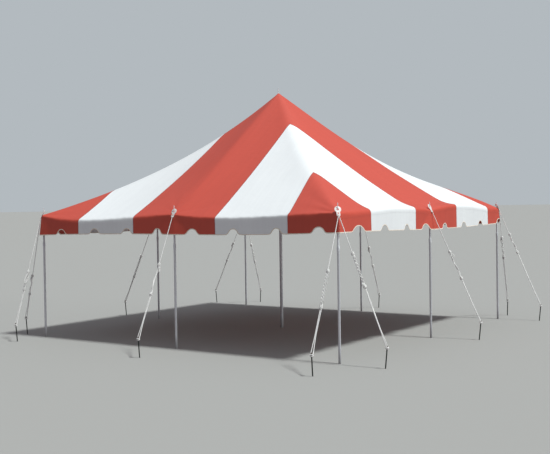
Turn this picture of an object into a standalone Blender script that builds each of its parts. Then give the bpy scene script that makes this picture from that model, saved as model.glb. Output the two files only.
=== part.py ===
# Pole marquee, 20 ft square: one pointed canopy over a centre pole and eight side poles, held by twelve
# guy ropes to twelve ground stakes. Metres, +Z up. The origin is on the ground at the foot of the centre
# pole. The front is towards -Y, the right side towards +X.
import math

import bmesh
import bpy
from mathutils import Matrix, Vector
from mathutils.bvhtree import BVHTree

# Canopy
SIDE_LENGTH = 6.096         # corner pole to corner pole
EAVE_HEIGHT = 2.18          # canopy where the side poles carry it
PEAK_HEIGHT = 4.384         # canopy at the centre pole
SHEET = 0.004               # thickness of the coated cloth, thicker than the real 0.6 mm
EAVE_REACH = 0.012          # cloth past the line of the poles before it turns down
EAVE_ROLL = 0.035           # radius over which the cloth turns down into the valance
CORNER_ROUND = 0.030        # radius of the canopy's corners, seen from above
VALANCE_DROP = 0.275        # eave to hem at a pole
HEM_SAG = 0.020             # the hem hangs this much lower midway between two poles
NOTCHES = 8                 # bell-shaped notches in the hem of one side
NOTCH_WIDTH = 0.32
NOTCH_HEIGHT = 0.10
NOTCH_FLANK = 0.74          # share of half a notch over which its flank rises
GAP = 0.0003                # left between pieces that touch

# How far the cloth swoops below a straight line from the peak, halfway down to each corner pole and to each
# middle pole. It is pitched by hand, so no two are alike.
HIP_DIPS = {"front_left": 0.28, "front_right": 0.17, "back_right": 0.27, "back_left": 0.27}
RIDGE_DIPS = {"front": 0.03, "right": 0.13, "back": 0.08, "left": 0.10}
HIP_LEAN = 0.26             # moves the swoop towards the peak
RIDGE_LEAN = -0.75          # moves it towards the eave
# In each bay, from a middle pole to a corner pole, the hollow of the cloth between the two ridges and the sag
# of the eave between the two poles. Below zero it swells, or bows up.
BAYS = {
    ("front", "front_left"): (0.046, 0.046), ("front", "front_right"): (0.037, 0.008),
    ("right", "front_right"): (-0.035, -0.030), ("right", "back_right"): (-0.042, -0.038),
    ("back", "back_right"): (0.0, 0.020), ("back", "back_left"): (0.0, 0.030),
    ("left", "back_left"): (0.0, 0.030), ("left", "front_left"): (0.0, 0.010),
}
# How far the valance's notches are off even spacing from corner to corner, on each side.
NOTCH_SHIFTS = {"front": 0.06, "right": 0.19, "back": 0.12, "left": 0.08}

# Poles
POLE_RADIUS = 0.019
POLE_TOP_RADIUS = 0.016     # upper section, above the coupling
COUPLING_HEIGHT = 1.65
COUPLING_LENGTH = 0.07
COUPLING_RADIUS = 0.0225
SEAT_RADIUS = 0.010         # pole's top under the cloth
PIN_RADIUS = 0.0055
SHOULDER = 0.012            # height over which the pole's top narrows to its seat
PIN_RISE = 0.125            # pin above the cloth
CENTRE_RADIUS = 0.028
CENTRE_SEAT_RADIUS = 0.022
CENTRE_SHOULDER = 0.03
SPIKE_RADIUS = 0.008
SPIKE_RISE = 0.095

# Keyhole tabs over the pins
TAB_TILT = math.radians(62)         # steepness of the tab below level
TAB_HEAD_RADIUS = 0.050
TAB_TAIL_WIDTH = 0.056
TAB_LENGTH = 0.108                  # middle of the head to the end of the tail
TAB_THICKNESS = 0.004
TAB_EYE_RADIUS = 0.018              # hole for the pin
TAB_ROPE_EYE_RADIUS = 0.009         # hole for the rope
TAB_ROPE_EYE_AT = 0.080             # from the middle of the head

# Guy ropes and stakes
ROPE_RADIUS = 0.0055
HITCH_RADIUS = 0.011                # rope and its tail wound together, between the two knots
KNOT_RADIUS = 0.017
LOOP_RADIUS = 0.008                 # two strands below the lower knot
STAKE_RADIUS = 0.009
STAKE_RISE = 0.32                   # above the ground
STAKE_LEAN = math.radians(6)        # away from the tent
LOOP_BELOW_TOP = 0.035              # rope's loop under the top of the stake

HALF = SIDE_LENGTH / 2
RISE = PEAK_HEIGHT - EAVE_HEIGHT
OUTLINE = HALF + EAVE_REACH

SIDES = ("front", "right", "back", "left")
# Poles in order round the canopy, in units of half a side.
POLES = {
    "front_left": (-1, -1), "front_middle": (0, -1), "front_right": (1, -1), "right_middle": (1, 0),
    "back_right": (1, 1), "back_middle": (0, 1), "back_left": (-1, 1), "left_middle": (-1, 0),
}
# Each guy rope: its pole, the side it pulls to, how far out its stake stands, how far along the side the
# stake is off its pole, and the shares of the rope's length down to its upper and its lower knot.
# The distances differ a little, because stakes are driven by hand where the ground takes them.
GUYS = {
    "front_left_front": ("front_left", "front", 0.70, 0.06, 0.44, 0.66),
    "front_middle": ("front_middle", "front", 1.00, 0.12, 0.40, 0.64),
    "front_right_front": ("front_right", "front", 1.05, 0.20, 0.41, 0.67),
    "front_right_right": ("front_right", "right", 0.76, -0.05, 0.29, 0.54),
    "right_middle": ("right_middle", "right", 0.80, 0.15, 0.36, 0.60),
    "back_right_right": ("back_right", "right", 0.80, 0.08, 0.25, 0.44),
    "back_right_back": ("back_right", "back", 0.65, -0.05, 0.29, 0.51),
    "back_middle": ("back_middle", "back", 0.78, 0.00, 0.42, 0.64),
    "back_left_back": ("back_left", "back", 0.68, -0.08, 0.40, 0.62),
    "back_left_left": ("back_left", "left", 0.92, 0.08, 0.38, 0.60),
    "left_middle": ("left_middle", "left", 1.00, 0.10, 0.46, 0.70),
    "front_left_left": ("front_left", "left", 0.52, 0.03, 0.57, 0.75),
}

# Fineness of the meshes
BAY_STEPS = 6               # columns of the roof in one bay
ROOF_ROWS = 10
ROLL_ROWS = 3
CORNER_STEPS = 2
NOTCH_STEPS = 8
COLUMN_SPACE = 0.008        # least distance between a notch's columns and the eave's own
TUBE_SIDES = 12
ROPE_SIDES = 8
STAKE_SIDES = 10
RING_SIDES = 6
TAB_STEPS = 12              # points round a tab's head

# sRGB colours taken by eye
RED_VINYL = (0.76, 0.27, 0.22)
WHITE_VINYL = (0.93, 0.94, 0.95)
STEEL = (0.55, 0.57, 0.60)
WEBBING = (0.90, 0.90, 0.88)
ROPE = (0.88, 0.87, 0.83)
STAKE_PAINT = (0.10, 0.13, 0.11)


def linear(srgb):
    return tuple(c / 12.92 if c <= 0.04045 else ((c + 0.055) / 1.055) ** 2.4 for c in srgb)


def make_material(name, srgb, roughness, metallic=0.0):
    material = bpy.data.materials.new(name)
    material.use_nodes = True
    shader = material.node_tree.nodes["Principled BSDF"]
    shader.inputs["Base Color"].default_value = (*linear(srgb), 1.0)
    shader.inputs["Roughness"].default_value = roughness
    shader.inputs["Metallic"].default_value = metallic
    return material


def add_object(name, bm, material, smooth_angle=None):
    bmesh.ops.recalc_face_normals(bm, faces=bm.faces)
    if bm.calc_volume(signed=True) < 0:
        bmesh.ops.reverse_faces(bm, faces=bm.faces)
    mesh = bpy.data.meshes.new(name)
    bm.to_mesh(mesh)
    bm.free()
    if smooth_angle is not None:
        mesh.shade_smooth()
        mesh.set_sharp_from_angle(angle=smooth_angle)
    obj = bpy.data.objects.new(name, mesh)
    bpy.context.scene.collection.objects.link(obj)
    if material is not None:
        mesh.materials.append(material)
    return obj


def apply_boolean(obj, cutter, operation, solver="EXACT"):
    modifier = obj.modifiers.new(operation.title(), "BOOLEAN")
    modifier.operation = operation
    modifier.solver = solver
    modifier.object = cutter
    depsgraph = bpy.context.evaluated_depsgraph_get()
    mesh = bpy.data.meshes.new_from_object(obj.evaluated_get(depsgraph))
    obj.modifiers.remove(modifier)
    old = obj.data
    obj.data = mesh
    mesh.name = old.name
    bpy.data.meshes.remove(old)
    bpy.data.objects.remove(cutter)


def bridge_rows(bm, rows, closed):
    # Joins rows of vertices with quads, round and round if closed.
    for lower, upper in zip(rows, rows[1:]):
        count = len(lower)
        for i in range(count if closed else count - 1):
            j = (i + 1) % count
            bm.faces.new((lower[i], lower[j], upper[j], upper[i]))


def turned(sections, start, direction, sides, phase=0.0):
    # A closed round body along a straight axis. Sections are (distance along the axis, radius), and phase
    # turns its flats by a share of one side.
    bm = bmesh.new()
    turn = direction.to_track_quat("Z", "Y").to_matrix()
    rows = []
    for along, radius in sections:
        row = []
        for i in range(sides):
            angle = 2 * math.pi * (i + phase) / sides
            offset = Vector((radius * math.cos(angle), radius * math.sin(angle), along))
            row.append(bm.verts.new(start + turn @ offset))
        rows.append(row)
    bridge_rows(bm, rows, closed=True)
    bm.faces.new(rows[0])
    bm.faces.new(rows[-1])
    return bm


def pole_place(pole):
    x, y = POLES[pole]
    return Vector((x * HALF, y * HALF, 0.0))


def side_turn(side):
    return Matrix.Rotation(math.pi / 2 * SIDES.index(side), 3, "Z")


# Canopy surface

def bay_wave(across):
    # 0 at a pole, 1 midway between a middle pole and a corner pole.
    return 4 * abs(across) * (1 - abs(across))


def side_and_corner(x, y):
    # The side of the roof over a plan point, and its nearer corner pole.
    ends = ("front" if y < 0 else "back", "left" if x < 0 else "right")
    return ends[0] if abs(y) > abs(x) else ends[1], "_".join(ends)


def roof_height(x, y):
    side, corner = side_and_corner(x, y)
    hollow, sag = BAYS[side, corner]
    out = max(abs(x), abs(y), 1e-6)
    across = min(abs(x), abs(y)) / out
    reach = out / HALF
    dip = RIDGE_DIPS[side] + (HIP_DIPS[corner] - RIDGE_DIPS[side]) * across + hollow * bay_wave(across)
    lean = RIDGE_LEAN + (HIP_LEAN - RIDGE_LEAN) * across
    swoop = dip * 4 * reach * (1 - reach) * (1 + lean * (1 - 2 * reach))
    return PEAK_HEIGHT - RISE * reach - swoop - sag * bay_wave(across) * reach ** 2


def outline_columns():
    # Plan points and outward directions along the front edge, corner mitre to corner mitre.
    straight = OUTLINE - CORNER_ROUND
    columns = []
    for i in range(-BAY_STEPS, BAY_STEPS + 1):
        columns.append((Vector((straight * i / BAY_STEPS, -OUTLINE)), Vector((0.0, -1.0))))
    for i in range(1, CORNER_STEPS + 1):
        angle = math.pi / 4 * i / CORNER_STEPS
        for hand in (-1, 1):
            away = Vector((hand * math.sin(angle), -math.cos(angle)))
            point = Vector((hand * straight, -straight)) + away * CORNER_ROUND
            columns.append((point, away))
    columns.sort(key=lambda column: column[0].x)
    return columns


def mitre_shift(rows):
    # Draws both ends of every row in from the corner mitre by the touching gap.
    for row in rows:
        row[0].x += GAP
        row[-1].x -= GAP


def roof_rows(side):
    # Outer and inner grids of one roof face in the front face's own frame, peak to eave.
    turn = side_turn(side)
    first = (SPIKE_RADIUS + 8 * GAP) / OUTLINE
    columns = outline_columns()

    def height(plan):
        world = turn @ Vector((plan.x, plan.y, 0.0))
        return roof_height(world.x, world.y)

    outer = []
    inner = []
    for j in range(ROOF_ROWS + 1):
        scale = first + (1 - first) * j / ROOF_ROWS
        outer_row = []
        inner_row = []
        for point, away in columns:
            plan = point * scale
            z = height(plan)
            outer_row.append(Vector((plan.x, plan.y, z)))
            inner_row.append(Vector((plan.x, plan.y, z - SHEET)))
        outer.append(outer_row)
        inner.append(inner_row)
    for j in range(1, ROLL_ROWS + 1):
        outer_row = []
        inner_row = []
        for point, away in columns:
            z = height(point)
            step = 0.01
            start = math.atan2(height(point - away * step) - z, step)
            angle = start + (math.pi / 2 - start) * j / ROLL_ROWS
            reach = EAVE_ROLL * (math.sin(angle) - math.sin(start))
            drop = EAVE_ROLL * (math.cos(start) - math.cos(angle))
            surface = Vector((point.x + away.x * reach, point.y + away.y * reach, z - drop))
            normal = Vector((away.x * math.sin(angle), away.y * math.sin(angle), math.cos(angle)))
            outer_row.append(surface)
            inner_row.append(surface - normal * SHEET)
        outer.append(outer_row)
        inner.append(inner_row)
    mitre_shift(outer)
    mitre_shift(inner)
    return outer, inner


def shell(outer, inner, turn):
    # Closed sheet between two grids of the same shape.
    bm = bmesh.new()
    top = [[bm.verts.new(turn @ p) for p in row] for row in outer]
    under = [[bm.verts.new(turn @ p) for p in row] for row in inner]
    bridge_rows(bm, top, closed=False)
    bridge_rows(bm, under, closed=False)
    bridge_rows(bm, [top[0], under[0]], closed=False)
    bridge_rows(bm, [top[-1], under[-1]], closed=False)
    bridge_rows(bm, [[row[0] for row in top], [row[0] for row in under]], closed=False)
    bridge_rows(bm, [[row[-1] for row in top], [row[-1] for row in under]], closed=False)
    return bm


def build_roof(side, material):
    outer, inner = roof_rows(side)
    bm = shell(outer, inner, side_turn(side))
    # The cloth's quads are twisted, so they are split before the pin holes are cut.
    bmesh.ops.triangulate(bm, faces=bm.faces)
    return add_object("roof_" + side, bm, material, math.radians(40))


def notch_centres(side):
    pitch = SIDE_LENGTH / NOTCHES
    return [(k + 0.5) * pitch - HALF + NOTCH_SHIFTS[side] for k in range(NOTCHES)]


def notch_rise(x, side):
    # Height of the hem's cut-away at a place along the side: a flat crown between two S-shaped flanks.
    off = min(abs(x - centre) for centre in notch_centres(side))
    climb = min(max((1 - off / (NOTCH_WIDTH / 2)) / NOTCH_FLANK, 0.0), 1.0)
    return NOTCH_HEIGHT * climb * climb * (3 - 2 * climb)


def hem_stations(edge, side):
    # Places along one side where the valance has a column: the eave's own columns and each notch's curve.
    stations = [p.x for p in edge]
    for centre in notch_centres(side):
        for i in range(NOTCH_STEPS + 1):
            x = centre + NOTCH_WIDTH * (i / NOTCH_STEPS - 0.5)
            if edge[0].x < x < edge[-1].x and all(abs(x - p.x) > COLUMN_SPACE for p in edge):
                stations.append(x)
    return sorted(stations)


def build_valance(side, material):
    outer, inner = roof_rows(side)
    edge = outer[-1]
    back = inner[-1]
    rows = [[], [], [], []]
    for x in hem_stations(edge, side):
        i = 0
        while i < len(edge) - 2 and edge[i + 1].x < x:
            i += 1
        share = (x - edge[i].x) / (edge[i + 1].x - edge[i].x)
        front_top = edge[i].lerp(edge[i + 1], share)
        back_top = back[i].lerp(back[i + 1], share)
        front_top.z -= GAP
        back_top.z = front_top.z
        across = min(abs(x) / HALF, 1.0)
        hem = EAVE_HEIGHT - EAVE_ROLL - VALANCE_DROP - HEM_SAG * bay_wave(across) + notch_rise(x, side)
        rows[0].append(front_top)
        rows[1].append(Vector((front_top.x, front_top.y, hem)))
        rows[2].append(Vector((back_top.x, back_top.y, hem)))
        rows[3].append(back_top)
    bm = bmesh.new()
    turn = side_turn(side)
    grid = [[bm.verts.new(turn @ p) for p in row] for row in rows]
    bridge_rows(bm, grid + [grid[0]], closed=False)
    bm.faces.new([row[0] for row in grid])
    bm.faces.new([row[-1] for row in grid])
    return add_object("valance_" + side, bm, material, math.radians(40))


# Poles

def height_over(tree, place, radius):
    # Lowest point of the cloth over a disc on top of a pole.
    lowest = PEAK_HEIGHT
    for share in (0.0, 0.5, 1.0):
        for i in range(TUBE_SIDES):
            angle = 2 * math.pi * i / TUBE_SIDES
            offset = Vector((math.cos(angle), math.sin(angle), 0.0)) * radius * share
            hit = tree.ray_cast(place + offset, Vector((0.0, 0.0, 1.0)))[0]
            if hit is not None:
                lowest = min(lowest, hit.z)
    return lowest


def cloth_tree(roofs):
    # One search tree over all the roof faces.
    verts = []
    faces = []
    for roof in roofs:
        first = len(verts)
        verts.extend(v.co.copy() for v in roof.data.vertices)
        faces.extend([first + i for i in polygon.vertices] for polygon in roof.data.polygons)
    return BVHTree.FromPolygons(verts, faces)


def pin_cutter(place):
    # Its flats clear the pin by the touching gap.
    radius = (PIN_RADIUS + GAP) / math.cos(math.pi / TUBE_SIDES)
    start = Vector((place.x, place.y, EAVE_HEIGHT - PIN_RISE))
    bm = turned([(0.0, radius), (2 * PIN_RISE, radius)], start, Vector((0.0, 0.0, 1.0)), TUBE_SIDES, 0.5)
    return add_object("pin_cutter", bm, None)


def build_pole(pole, tree, material):
    place = pole_place(pole)
    seat = height_over(tree, place, SEAT_RADIUS) - GAP
    low = COUPLING_HEIGHT - COUPLING_LENGTH / 2
    high = COUPLING_HEIGHT + COUPLING_LENGTH / 2
    sections = [
        (0.0, POLE_RADIUS), (low, POLE_RADIUS), (low, COUPLING_RADIUS), (high, COUPLING_RADIUS),
        (high, POLE_TOP_RADIUS), (seat - SHOULDER, POLE_TOP_RADIUS), (seat, SEAT_RADIUS), (seat, PIN_RADIUS),
        (EAVE_HEIGHT + PIN_RISE - PIN_RADIUS, PIN_RADIUS), (EAVE_HEIGHT + PIN_RISE, PIN_RADIUS / 2),
    ]
    bm = turned(sections, place, Vector((0.0, 0.0, 1.0)), TUBE_SIDES)
    return add_object("pole_" + pole, bm, material, math.radians(40))


def build_centre_pole(tree, material):
    foot = Vector((0.0, 0.0, 0.0))
    seat = height_over(tree, foot, CENTRE_SEAT_RADIUS) - GAP
    top = PEAK_HEIGHT + SPIKE_RISE
    sections = [
        (0.0, CENTRE_RADIUS), (seat - CENTRE_SHOULDER, CENTRE_RADIUS), (seat, CENTRE_SEAT_RADIUS),
        (seat, SPIKE_RADIUS),
        (top - 3 * SPIKE_RADIUS, SPIKE_RADIUS), (top, SPIKE_RADIUS / 3),
    ]
    bm = turned(sections, foot, Vector((0.0, 0.0, 1.0)), TUBE_SIDES)
    return add_object("centre_pole", bm, material, math.radians(40))


# Tabs

def under_tab(start, end, down, width):
    # The stretch of an edge that lies under the tab's length and width, as shares of the edge.
    first = 0.0
    last = 1.0
    for direction, low, high in ((down, -TAB_HEAD_RADIUS, TAB_LENGTH),
                                 (width, -TAB_HEAD_RADIUS, TAB_HEAD_RADIUS)):
        a = start.dot(direction)
        run = end.dot(direction) - a
        if abs(run) > 1e-9:
            ends = sorted(((low - a) / run, (high - a) / run))
            first = max(first, ends[0])
            last = min(last, ends[1])
        elif not low <= a <= high:
            last = -1.0
    return first, last


def tab_frame(pole, cloth):
    # Middle of the head, the direction down the tab, its width and its upper face, seated on the eave.
    place = pole_place(pole)
    away = place.normalized()
    down = away * math.cos(TAB_TILT) - Vector((0.0, 0.0, math.sin(TAB_TILT)))
    face = away * math.sin(TAB_TILT) + Vector((0.0, 0.0, math.cos(TAB_TILT)))
    width = down.cross(face)
    eave = Vector((place.x, place.y, EAVE_HEIGHT))
    lift = -1.0
    for piece in cloth:
        offsets = [vertex.co - eave for vertex in piece.data.vertices]
        for edge in piece.data.edges:
            start, end = (offsets[i] for i in edge.vertices)
            first, last = under_tab(start, end, down, width)
            if first <= last:
                lift = max(lift, start.lerp(end, first).dot(face), start.lerp(end, last).dot(face))
    centre = Vector((place.x, place.y, EAVE_HEIGHT + (lift + GAP + TAB_THICKNESS / 2) / face.z))
    return centre, down, width, face


def build_tab(pole, frame, material):
    centre, down, width, face = frame
    half_tail = TAB_TAIL_WIDTH / 2
    join = math.asin(half_tail / TAB_HEAD_RADIUS)
    outline = []
    for i in range(TAB_STEPS + 1):
        angle = join + (2 * math.pi - 2 * join) * i / TAB_STEPS
        outline.append((TAB_HEAD_RADIUS * math.cos(angle), TAB_HEAD_RADIUS * math.sin(angle)))
    tail_round = half_tail / 2
    for i in range(4):
        angle = math.pi / 2 * i / 3
        outline.append((TAB_LENGTH - tail_round + tail_round * math.sin(angle),
                        -half_tail + tail_round - tail_round * math.cos(angle)))
    for i in range(4):
        angle = math.pi / 2 * i / 3
        outline.append((TAB_LENGTH - tail_round + tail_round * math.cos(angle),
                        half_tail - tail_round + tail_round * math.sin(angle)))
    bm = bmesh.new()
    rows = []
    for level in (-TAB_THICKNESS / 2, TAB_THICKNESS / 2):
        rows.append([bm.verts.new(centre + down * x + width * y + face * level) for x, y in outline])
    bridge_rows(bm, rows, closed=True)
    bm.faces.new(rows[0])
    bm.faces.new(rows[1])
    tab = add_object("tab_" + pole, bm, material)
    for at, radius in ((0.0, TAB_EYE_RADIUS), (TAB_ROPE_EYE_AT, TAB_ROPE_EYE_RADIUS)):
        start = centre + down * at - face * TAB_THICKNESS
        eye = turned([(0.0, radius), (2 * TAB_THICKNESS, radius)], start, face, TUBE_SIDES)
        apply_boolean(tab, add_object("eye_cutter", eye, None), "DIFFERENCE")
    return tab


# Stakes and ropes

def stake_axis(guy):
    # Foot and direction of a stake.
    pole, side, out, along = GUYS[guy][:4]
    away = side_turn(side) @ Vector((0.0, -1.0, 0.0))
    # Along counts towards +X or +Y, whichever the side runs in.
    sideways = Vector((1.0, 0.0, 0.0)) if side in ("front", "back") else Vector((0.0, 1.0, 0.0))
    foot = pole_place(pole) + away * out + sideways * along
    lean = (foot - pole_place(pole)).normalized()
    return foot, lean * math.sin(STAKE_LEAN) + Vector((0.0, 0.0, math.cos(STAKE_LEAN)))


def ring_points(centre, axis, radius, sides):
    turn = axis.to_track_quat("Z", "Y").to_matrix()
    points = []
    for i in range(sides):
        angle = 2 * math.pi * i / sides
        points.append(centre + turn @ Vector((radius * math.cos(angle), radius * math.sin(angle), 0.0)))
    return points


def build_stake(guy, material):
    foot, axis = stake_axis(guy)
    length = STAKE_RISE / axis.z
    bevel = STAKE_RADIUS / 3
    bm = bmesh.new()
    sections = ((0.0, STAKE_RADIUS), (length - bevel, STAKE_RADIUS), (length, STAKE_RADIUS - bevel))
    rows = []
    for along, radius in sections:
        ring = ring_points(foot + axis * along, axis, radius, STAKE_SIDES)
        rows.append([bm.verts.new(p) for p in ring])
    for vertex in rows[0]:
        # The foot is cut level with the ground.
        vertex.co -= axis * (vertex.co.z / axis.z)
    bridge_rows(bm, rows, closed=True)
    bm.faces.new(rows[0])
    bm.faces.new(rows[-1])
    return add_object("stake_" + guy, bm, material, math.radians(40))


def build_rope(guy, frame, shared, material):
    upper, lower = GUYS[guy][4:]
    centre, down, width = frame[:3]
    foot, axis = stake_axis(guy)
    hold = foot + axis * (STAKE_RISE / axis.z - LOOP_BELOW_TOP)
    # The loop lies round the stake, a touching gap off it, with the stake's own number of sides.
    ring = STAKE_RADIUS + GAP + LOOP_RADIUS
    start = centre + down * TAB_LENGTH
    if shared:
        aside = width if (hold - start).dot(width) > 0 else -width
        start = start + aside * (ROPE_RADIUS + 2 * GAP)
    inward = (start - hold) - axis * (start - hold).dot(axis)
    end = hold + inward.normalized() * ring
    direction = (end - start).normalized()
    tilt = direction.angle(down)
    lead = (GAP + ROPE_RADIUS * math.sin(tilt)) / math.cos(tilt)
    start = start + direction * lead
    length = (end - start).length
    a = length * upper
    b = length * lower
    k = KNOT_RADIUS
    sections = [
        (0.0, ROPE_RADIUS), (a - k, ROPE_RADIUS), (a - k / 2, k), (a + k / 2, k), (a + k, HITCH_RADIUS),
        (b - k, HITCH_RADIUS), (b - k / 2, k), (b + k / 2, k), (b + k, LOOP_RADIUS),
        (length, LOOP_RADIUS / 2),
    ]
    bm = turned(sections, start, direction, ROPE_SIDES)
    rope = add_object("rope_" + guy, bm, material, math.radians(50))
    loop = bmesh.new()
    rows = []
    share = math.cos(math.pi / RING_SIDES)
    for i in range(RING_SIDES):
        angle = 2 * math.pi * (i + 0.5) / RING_SIDES
        rise = axis * (LOOP_RADIUS / share * math.sin(angle))
        reach = ring + LOOP_RADIUS / share * math.cos(angle)
        rows.append([loop.verts.new(p) for p in ring_points(hold + rise, axis, reach, STAKE_SIDES)])
    bridge_rows(loop, rows + [rows[0]], closed=True)
    apply_boolean(rope, add_object("loop", loop, None), "UNION")
    return rope


def clear_scene():
    for obj in list(bpy.data.objects):
        bpy.data.objects.remove(obj)


def build():
    clear_scene()
    red = make_material("red_vinyl", RED_VINYL, 0.5)
    white = make_material("white_vinyl", WHITE_VINYL, 0.5)
    steel = make_material("galvanised_steel", STEEL, 0.45, 0.9)
    webbing = make_material("webbing", WEBBING, 0.8)
    cordage = make_material("rope", ROPE, 0.85)
    paint = make_material("stake_paint", STAKE_PAINT, 0.5)
    roofs = [build_roof(side, red) for side in SIDES]
    valances = [build_valance(side, white) for side in SIDES]
    tree = cloth_tree(roofs)
    poles = [build_centre_pole(tree, steel)]
    poles += [build_pole(pole, tree, steel) for pole in POLES]
    frames = {pole: tab_frame(pole, roofs + valances) for pole in POLES}
    for pole in POLES:
        build_tab(pole, frames[pole], webbing)
        x, y = POLES[pole]
        for side, roof in zip(SIDES, roofs):
            away = side_turn(side) @ Vector((0.0, -1.0, 0.0))
            if away.x * x + away.y * y > 0:
                # The exact solver turns one face inside out at a corner.
                apply_boolean(roof, pin_cutter(pole_place(pole)), "DIFFERENCE", "MANIFOLD")
    ropes_at = [values[0] for values in GUYS.values()]
    for guy, values in GUYS.items():
        build_stake(guy, paint)
        build_rope(guy, frames[values[0]], ropes_at.count(values[0]) > 1, cordage)


build()
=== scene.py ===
# Pole marquee, 20 ft square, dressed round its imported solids. Metres, +Z up, the front towards -Y and the
# origin on the ground under the centre pole.
import random
from math import asin, atan2, copysign, cos, pi, radians, sin, tan

import bmesh
import bpy
import numpy as np
from mathutils import Matrix, Vector


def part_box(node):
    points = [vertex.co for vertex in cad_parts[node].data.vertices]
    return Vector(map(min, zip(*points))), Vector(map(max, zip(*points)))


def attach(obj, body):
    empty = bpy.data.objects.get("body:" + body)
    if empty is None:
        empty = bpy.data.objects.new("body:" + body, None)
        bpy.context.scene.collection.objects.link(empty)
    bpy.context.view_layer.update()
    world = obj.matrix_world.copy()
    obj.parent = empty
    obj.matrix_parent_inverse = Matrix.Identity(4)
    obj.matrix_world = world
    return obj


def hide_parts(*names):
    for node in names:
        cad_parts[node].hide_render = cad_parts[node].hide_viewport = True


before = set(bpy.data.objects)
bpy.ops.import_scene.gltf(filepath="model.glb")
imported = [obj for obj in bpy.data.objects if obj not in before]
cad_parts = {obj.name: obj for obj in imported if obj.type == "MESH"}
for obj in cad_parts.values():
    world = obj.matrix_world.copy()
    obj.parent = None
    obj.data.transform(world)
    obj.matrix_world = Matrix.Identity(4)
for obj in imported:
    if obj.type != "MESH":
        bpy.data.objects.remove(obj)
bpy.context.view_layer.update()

# Camera: 17 m from the tent at a little over head height, looking at its front right corner. It was found
# by fitting a pinhole camera to the feet and tops of the nine poles.
CAMERA_PLACE = Vector((9.969, -14.763, 2.254))
CAMERA_AZIMUTH = radians(34.36)
CAMERA_DOWN = radians(1.20)
CAMERA_ROLL = radians(-0.85)
FOCAL_LENGTH = 62.31
SENSOR_WIDTH = 36.0
SEEN_DISTANCE = 4000.0


def new_object(name, data):
    # An object that is in the scene.
    made = bpy.data.objects.new(name, data)
    bpy.context.scene.collection.objects.link(made)
    return made


forward = Vector((-sin(CAMERA_AZIMUTH), cos(CAMERA_AZIMUTH), -tan(CAMERA_DOWN))).normalized()
level = Vector((cos(CAMERA_AZIMUTH), sin(CAMERA_AZIMUTH), 0.0))
upright = level.cross(forward)
across_frame = level * cos(CAMERA_ROLL) + upright * sin(CAMERA_ROLL)
up_frame = upright * cos(CAMERA_ROLL) - level * sin(CAMERA_ROLL)
camera_data = bpy.data.cameras.new("camera")
camera_data.sensor_fit = "HORIZONTAL"
camera_data.sensor_width = SENSOR_WIDTH
camera_data.lens = FOCAL_LENGTH
camera_data.clip_end = SEEN_DISTANCE
camera = new_object("camera", camera_data)
camera.matrix_world = (Matrix.Translation(CAMERA_PLACE)
                       @ Matrix((across_frame, up_frame, -forward)).transposed().to_4x4())
bpy.context.scene.camera = camera

# Studio: a plain pale floor that runs to the horizon, one soft key light high on the right, a broad weak one
# low on the right, and a pale surround, brightest overhead, that lights the tent less than it shows, so that
# the sides keep their shade.
FLOOR_REACH = 1500.0
FLOOR_LEVEL = -0.001        # just under the feet of the poles
FLOOR_COLOUR = "#918D8E"
FLOOR_SEEN_COLOUR = "#A6A9A5"
BACKDROP_COLOUR = "#B3BABF"
SURROUND_COLOUR = "#F0ECF8"
SURROUND_AT_HORIZON = 0.05
SURROUND_OVERHEAD = 0.52
KEY_DIRECTION = Vector((0.44, 0.03, 0.90))
KEY_STRENGTH = 2.85
KEY_SOFTNESS = radians(7)
SIDE_DIRECTION = Vector((1.0, 0.28, 0.12))
SIDE_STRENGTH = 0.88
SIDE_SOFTNESS = radians(30)


def linear(code):
    # An sRGB hex value as linear red, green, blue and alpha.
    values = [int(code[i:i + 2], 16) / 255 for i in (1, 3, 5)]
    return tuple(v / 12.92 if v <= 0.04045 else ((v + 0.055) / 1.055) ** 2.4 for v in values) + (1.0,)


def fill(node, inputs):
    # Each input of a node set to a value or a hex colour, or linked from an output or a node's first output.
    for socket, value in inputs.items():
        if isinstance(value, bpy.types.Node):
            value = value.outputs[0]
        if isinstance(value, bpy.types.NodeSocket):
            node.id_data.links.new(value, node.inputs[socket])
        else:
            node.inputs[socket].default_value = linear(value) if isinstance(value, str) else value


def add_node(tree, kind, inputs=(), **settings):
    # A new node with its settings and inputs.
    node = tree.nodes.new(kind)
    for name, value in settings.items():
        setattr(node, name, value)
    fill(node, dict(inputs))
    return node


def new_material(name):
    # An empty node material, its tree and its Principled shader.
    material = bpy.data.materials.new(name)
    material.use_nodes = True
    tree = material.node_tree
    return material, tree, tree.nodes["Principled BSDF"]


floor_material, floor_tree, floor_shader = new_material("matt_floor_paint")
looked_at = add_node(floor_tree, "ShaderNodeLightPath").outputs["Is Camera Ray"]
floor_tone = add_node(floor_tree, "ShaderNodeMix", {0: looked_at, 6: FLOOR_COLOUR, 7: FLOOR_SEEN_COLOUR},
                      data_type="RGBA")
fill(floor_shader, {"Base Color": floor_tone.outputs[2], "Roughness": 1.0, "Specular IOR Level": 0.0})
floor_mesh = bpy.data.meshes.new("floor")
floor_mesh.from_pydata([(x * FLOOR_REACH, y * FLOOR_REACH, FLOOR_LEVEL)
                        for x, y in ((-1, -1), (1, -1), (1, 1), (-1, 1))], [], [(0, 1, 2, 3)])
floor_mesh.materials.append(floor_material)
floor = new_object("floor", floor_mesh)

for name, direction, strength, softness in (("key", KEY_DIRECTION, KEY_STRENGTH, KEY_SOFTNESS),
                                            ("side", SIDE_DIRECTION, SIDE_STRENGTH, SIDE_SOFTNESS)):
    light_data = bpy.data.lights.new(name, "SUN")
    light_data.energy = strength
    light_data.angle = softness
    new_object(name, light_data).rotation_euler = direction.to_track_quat("Z", "Y").to_euler()

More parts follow.
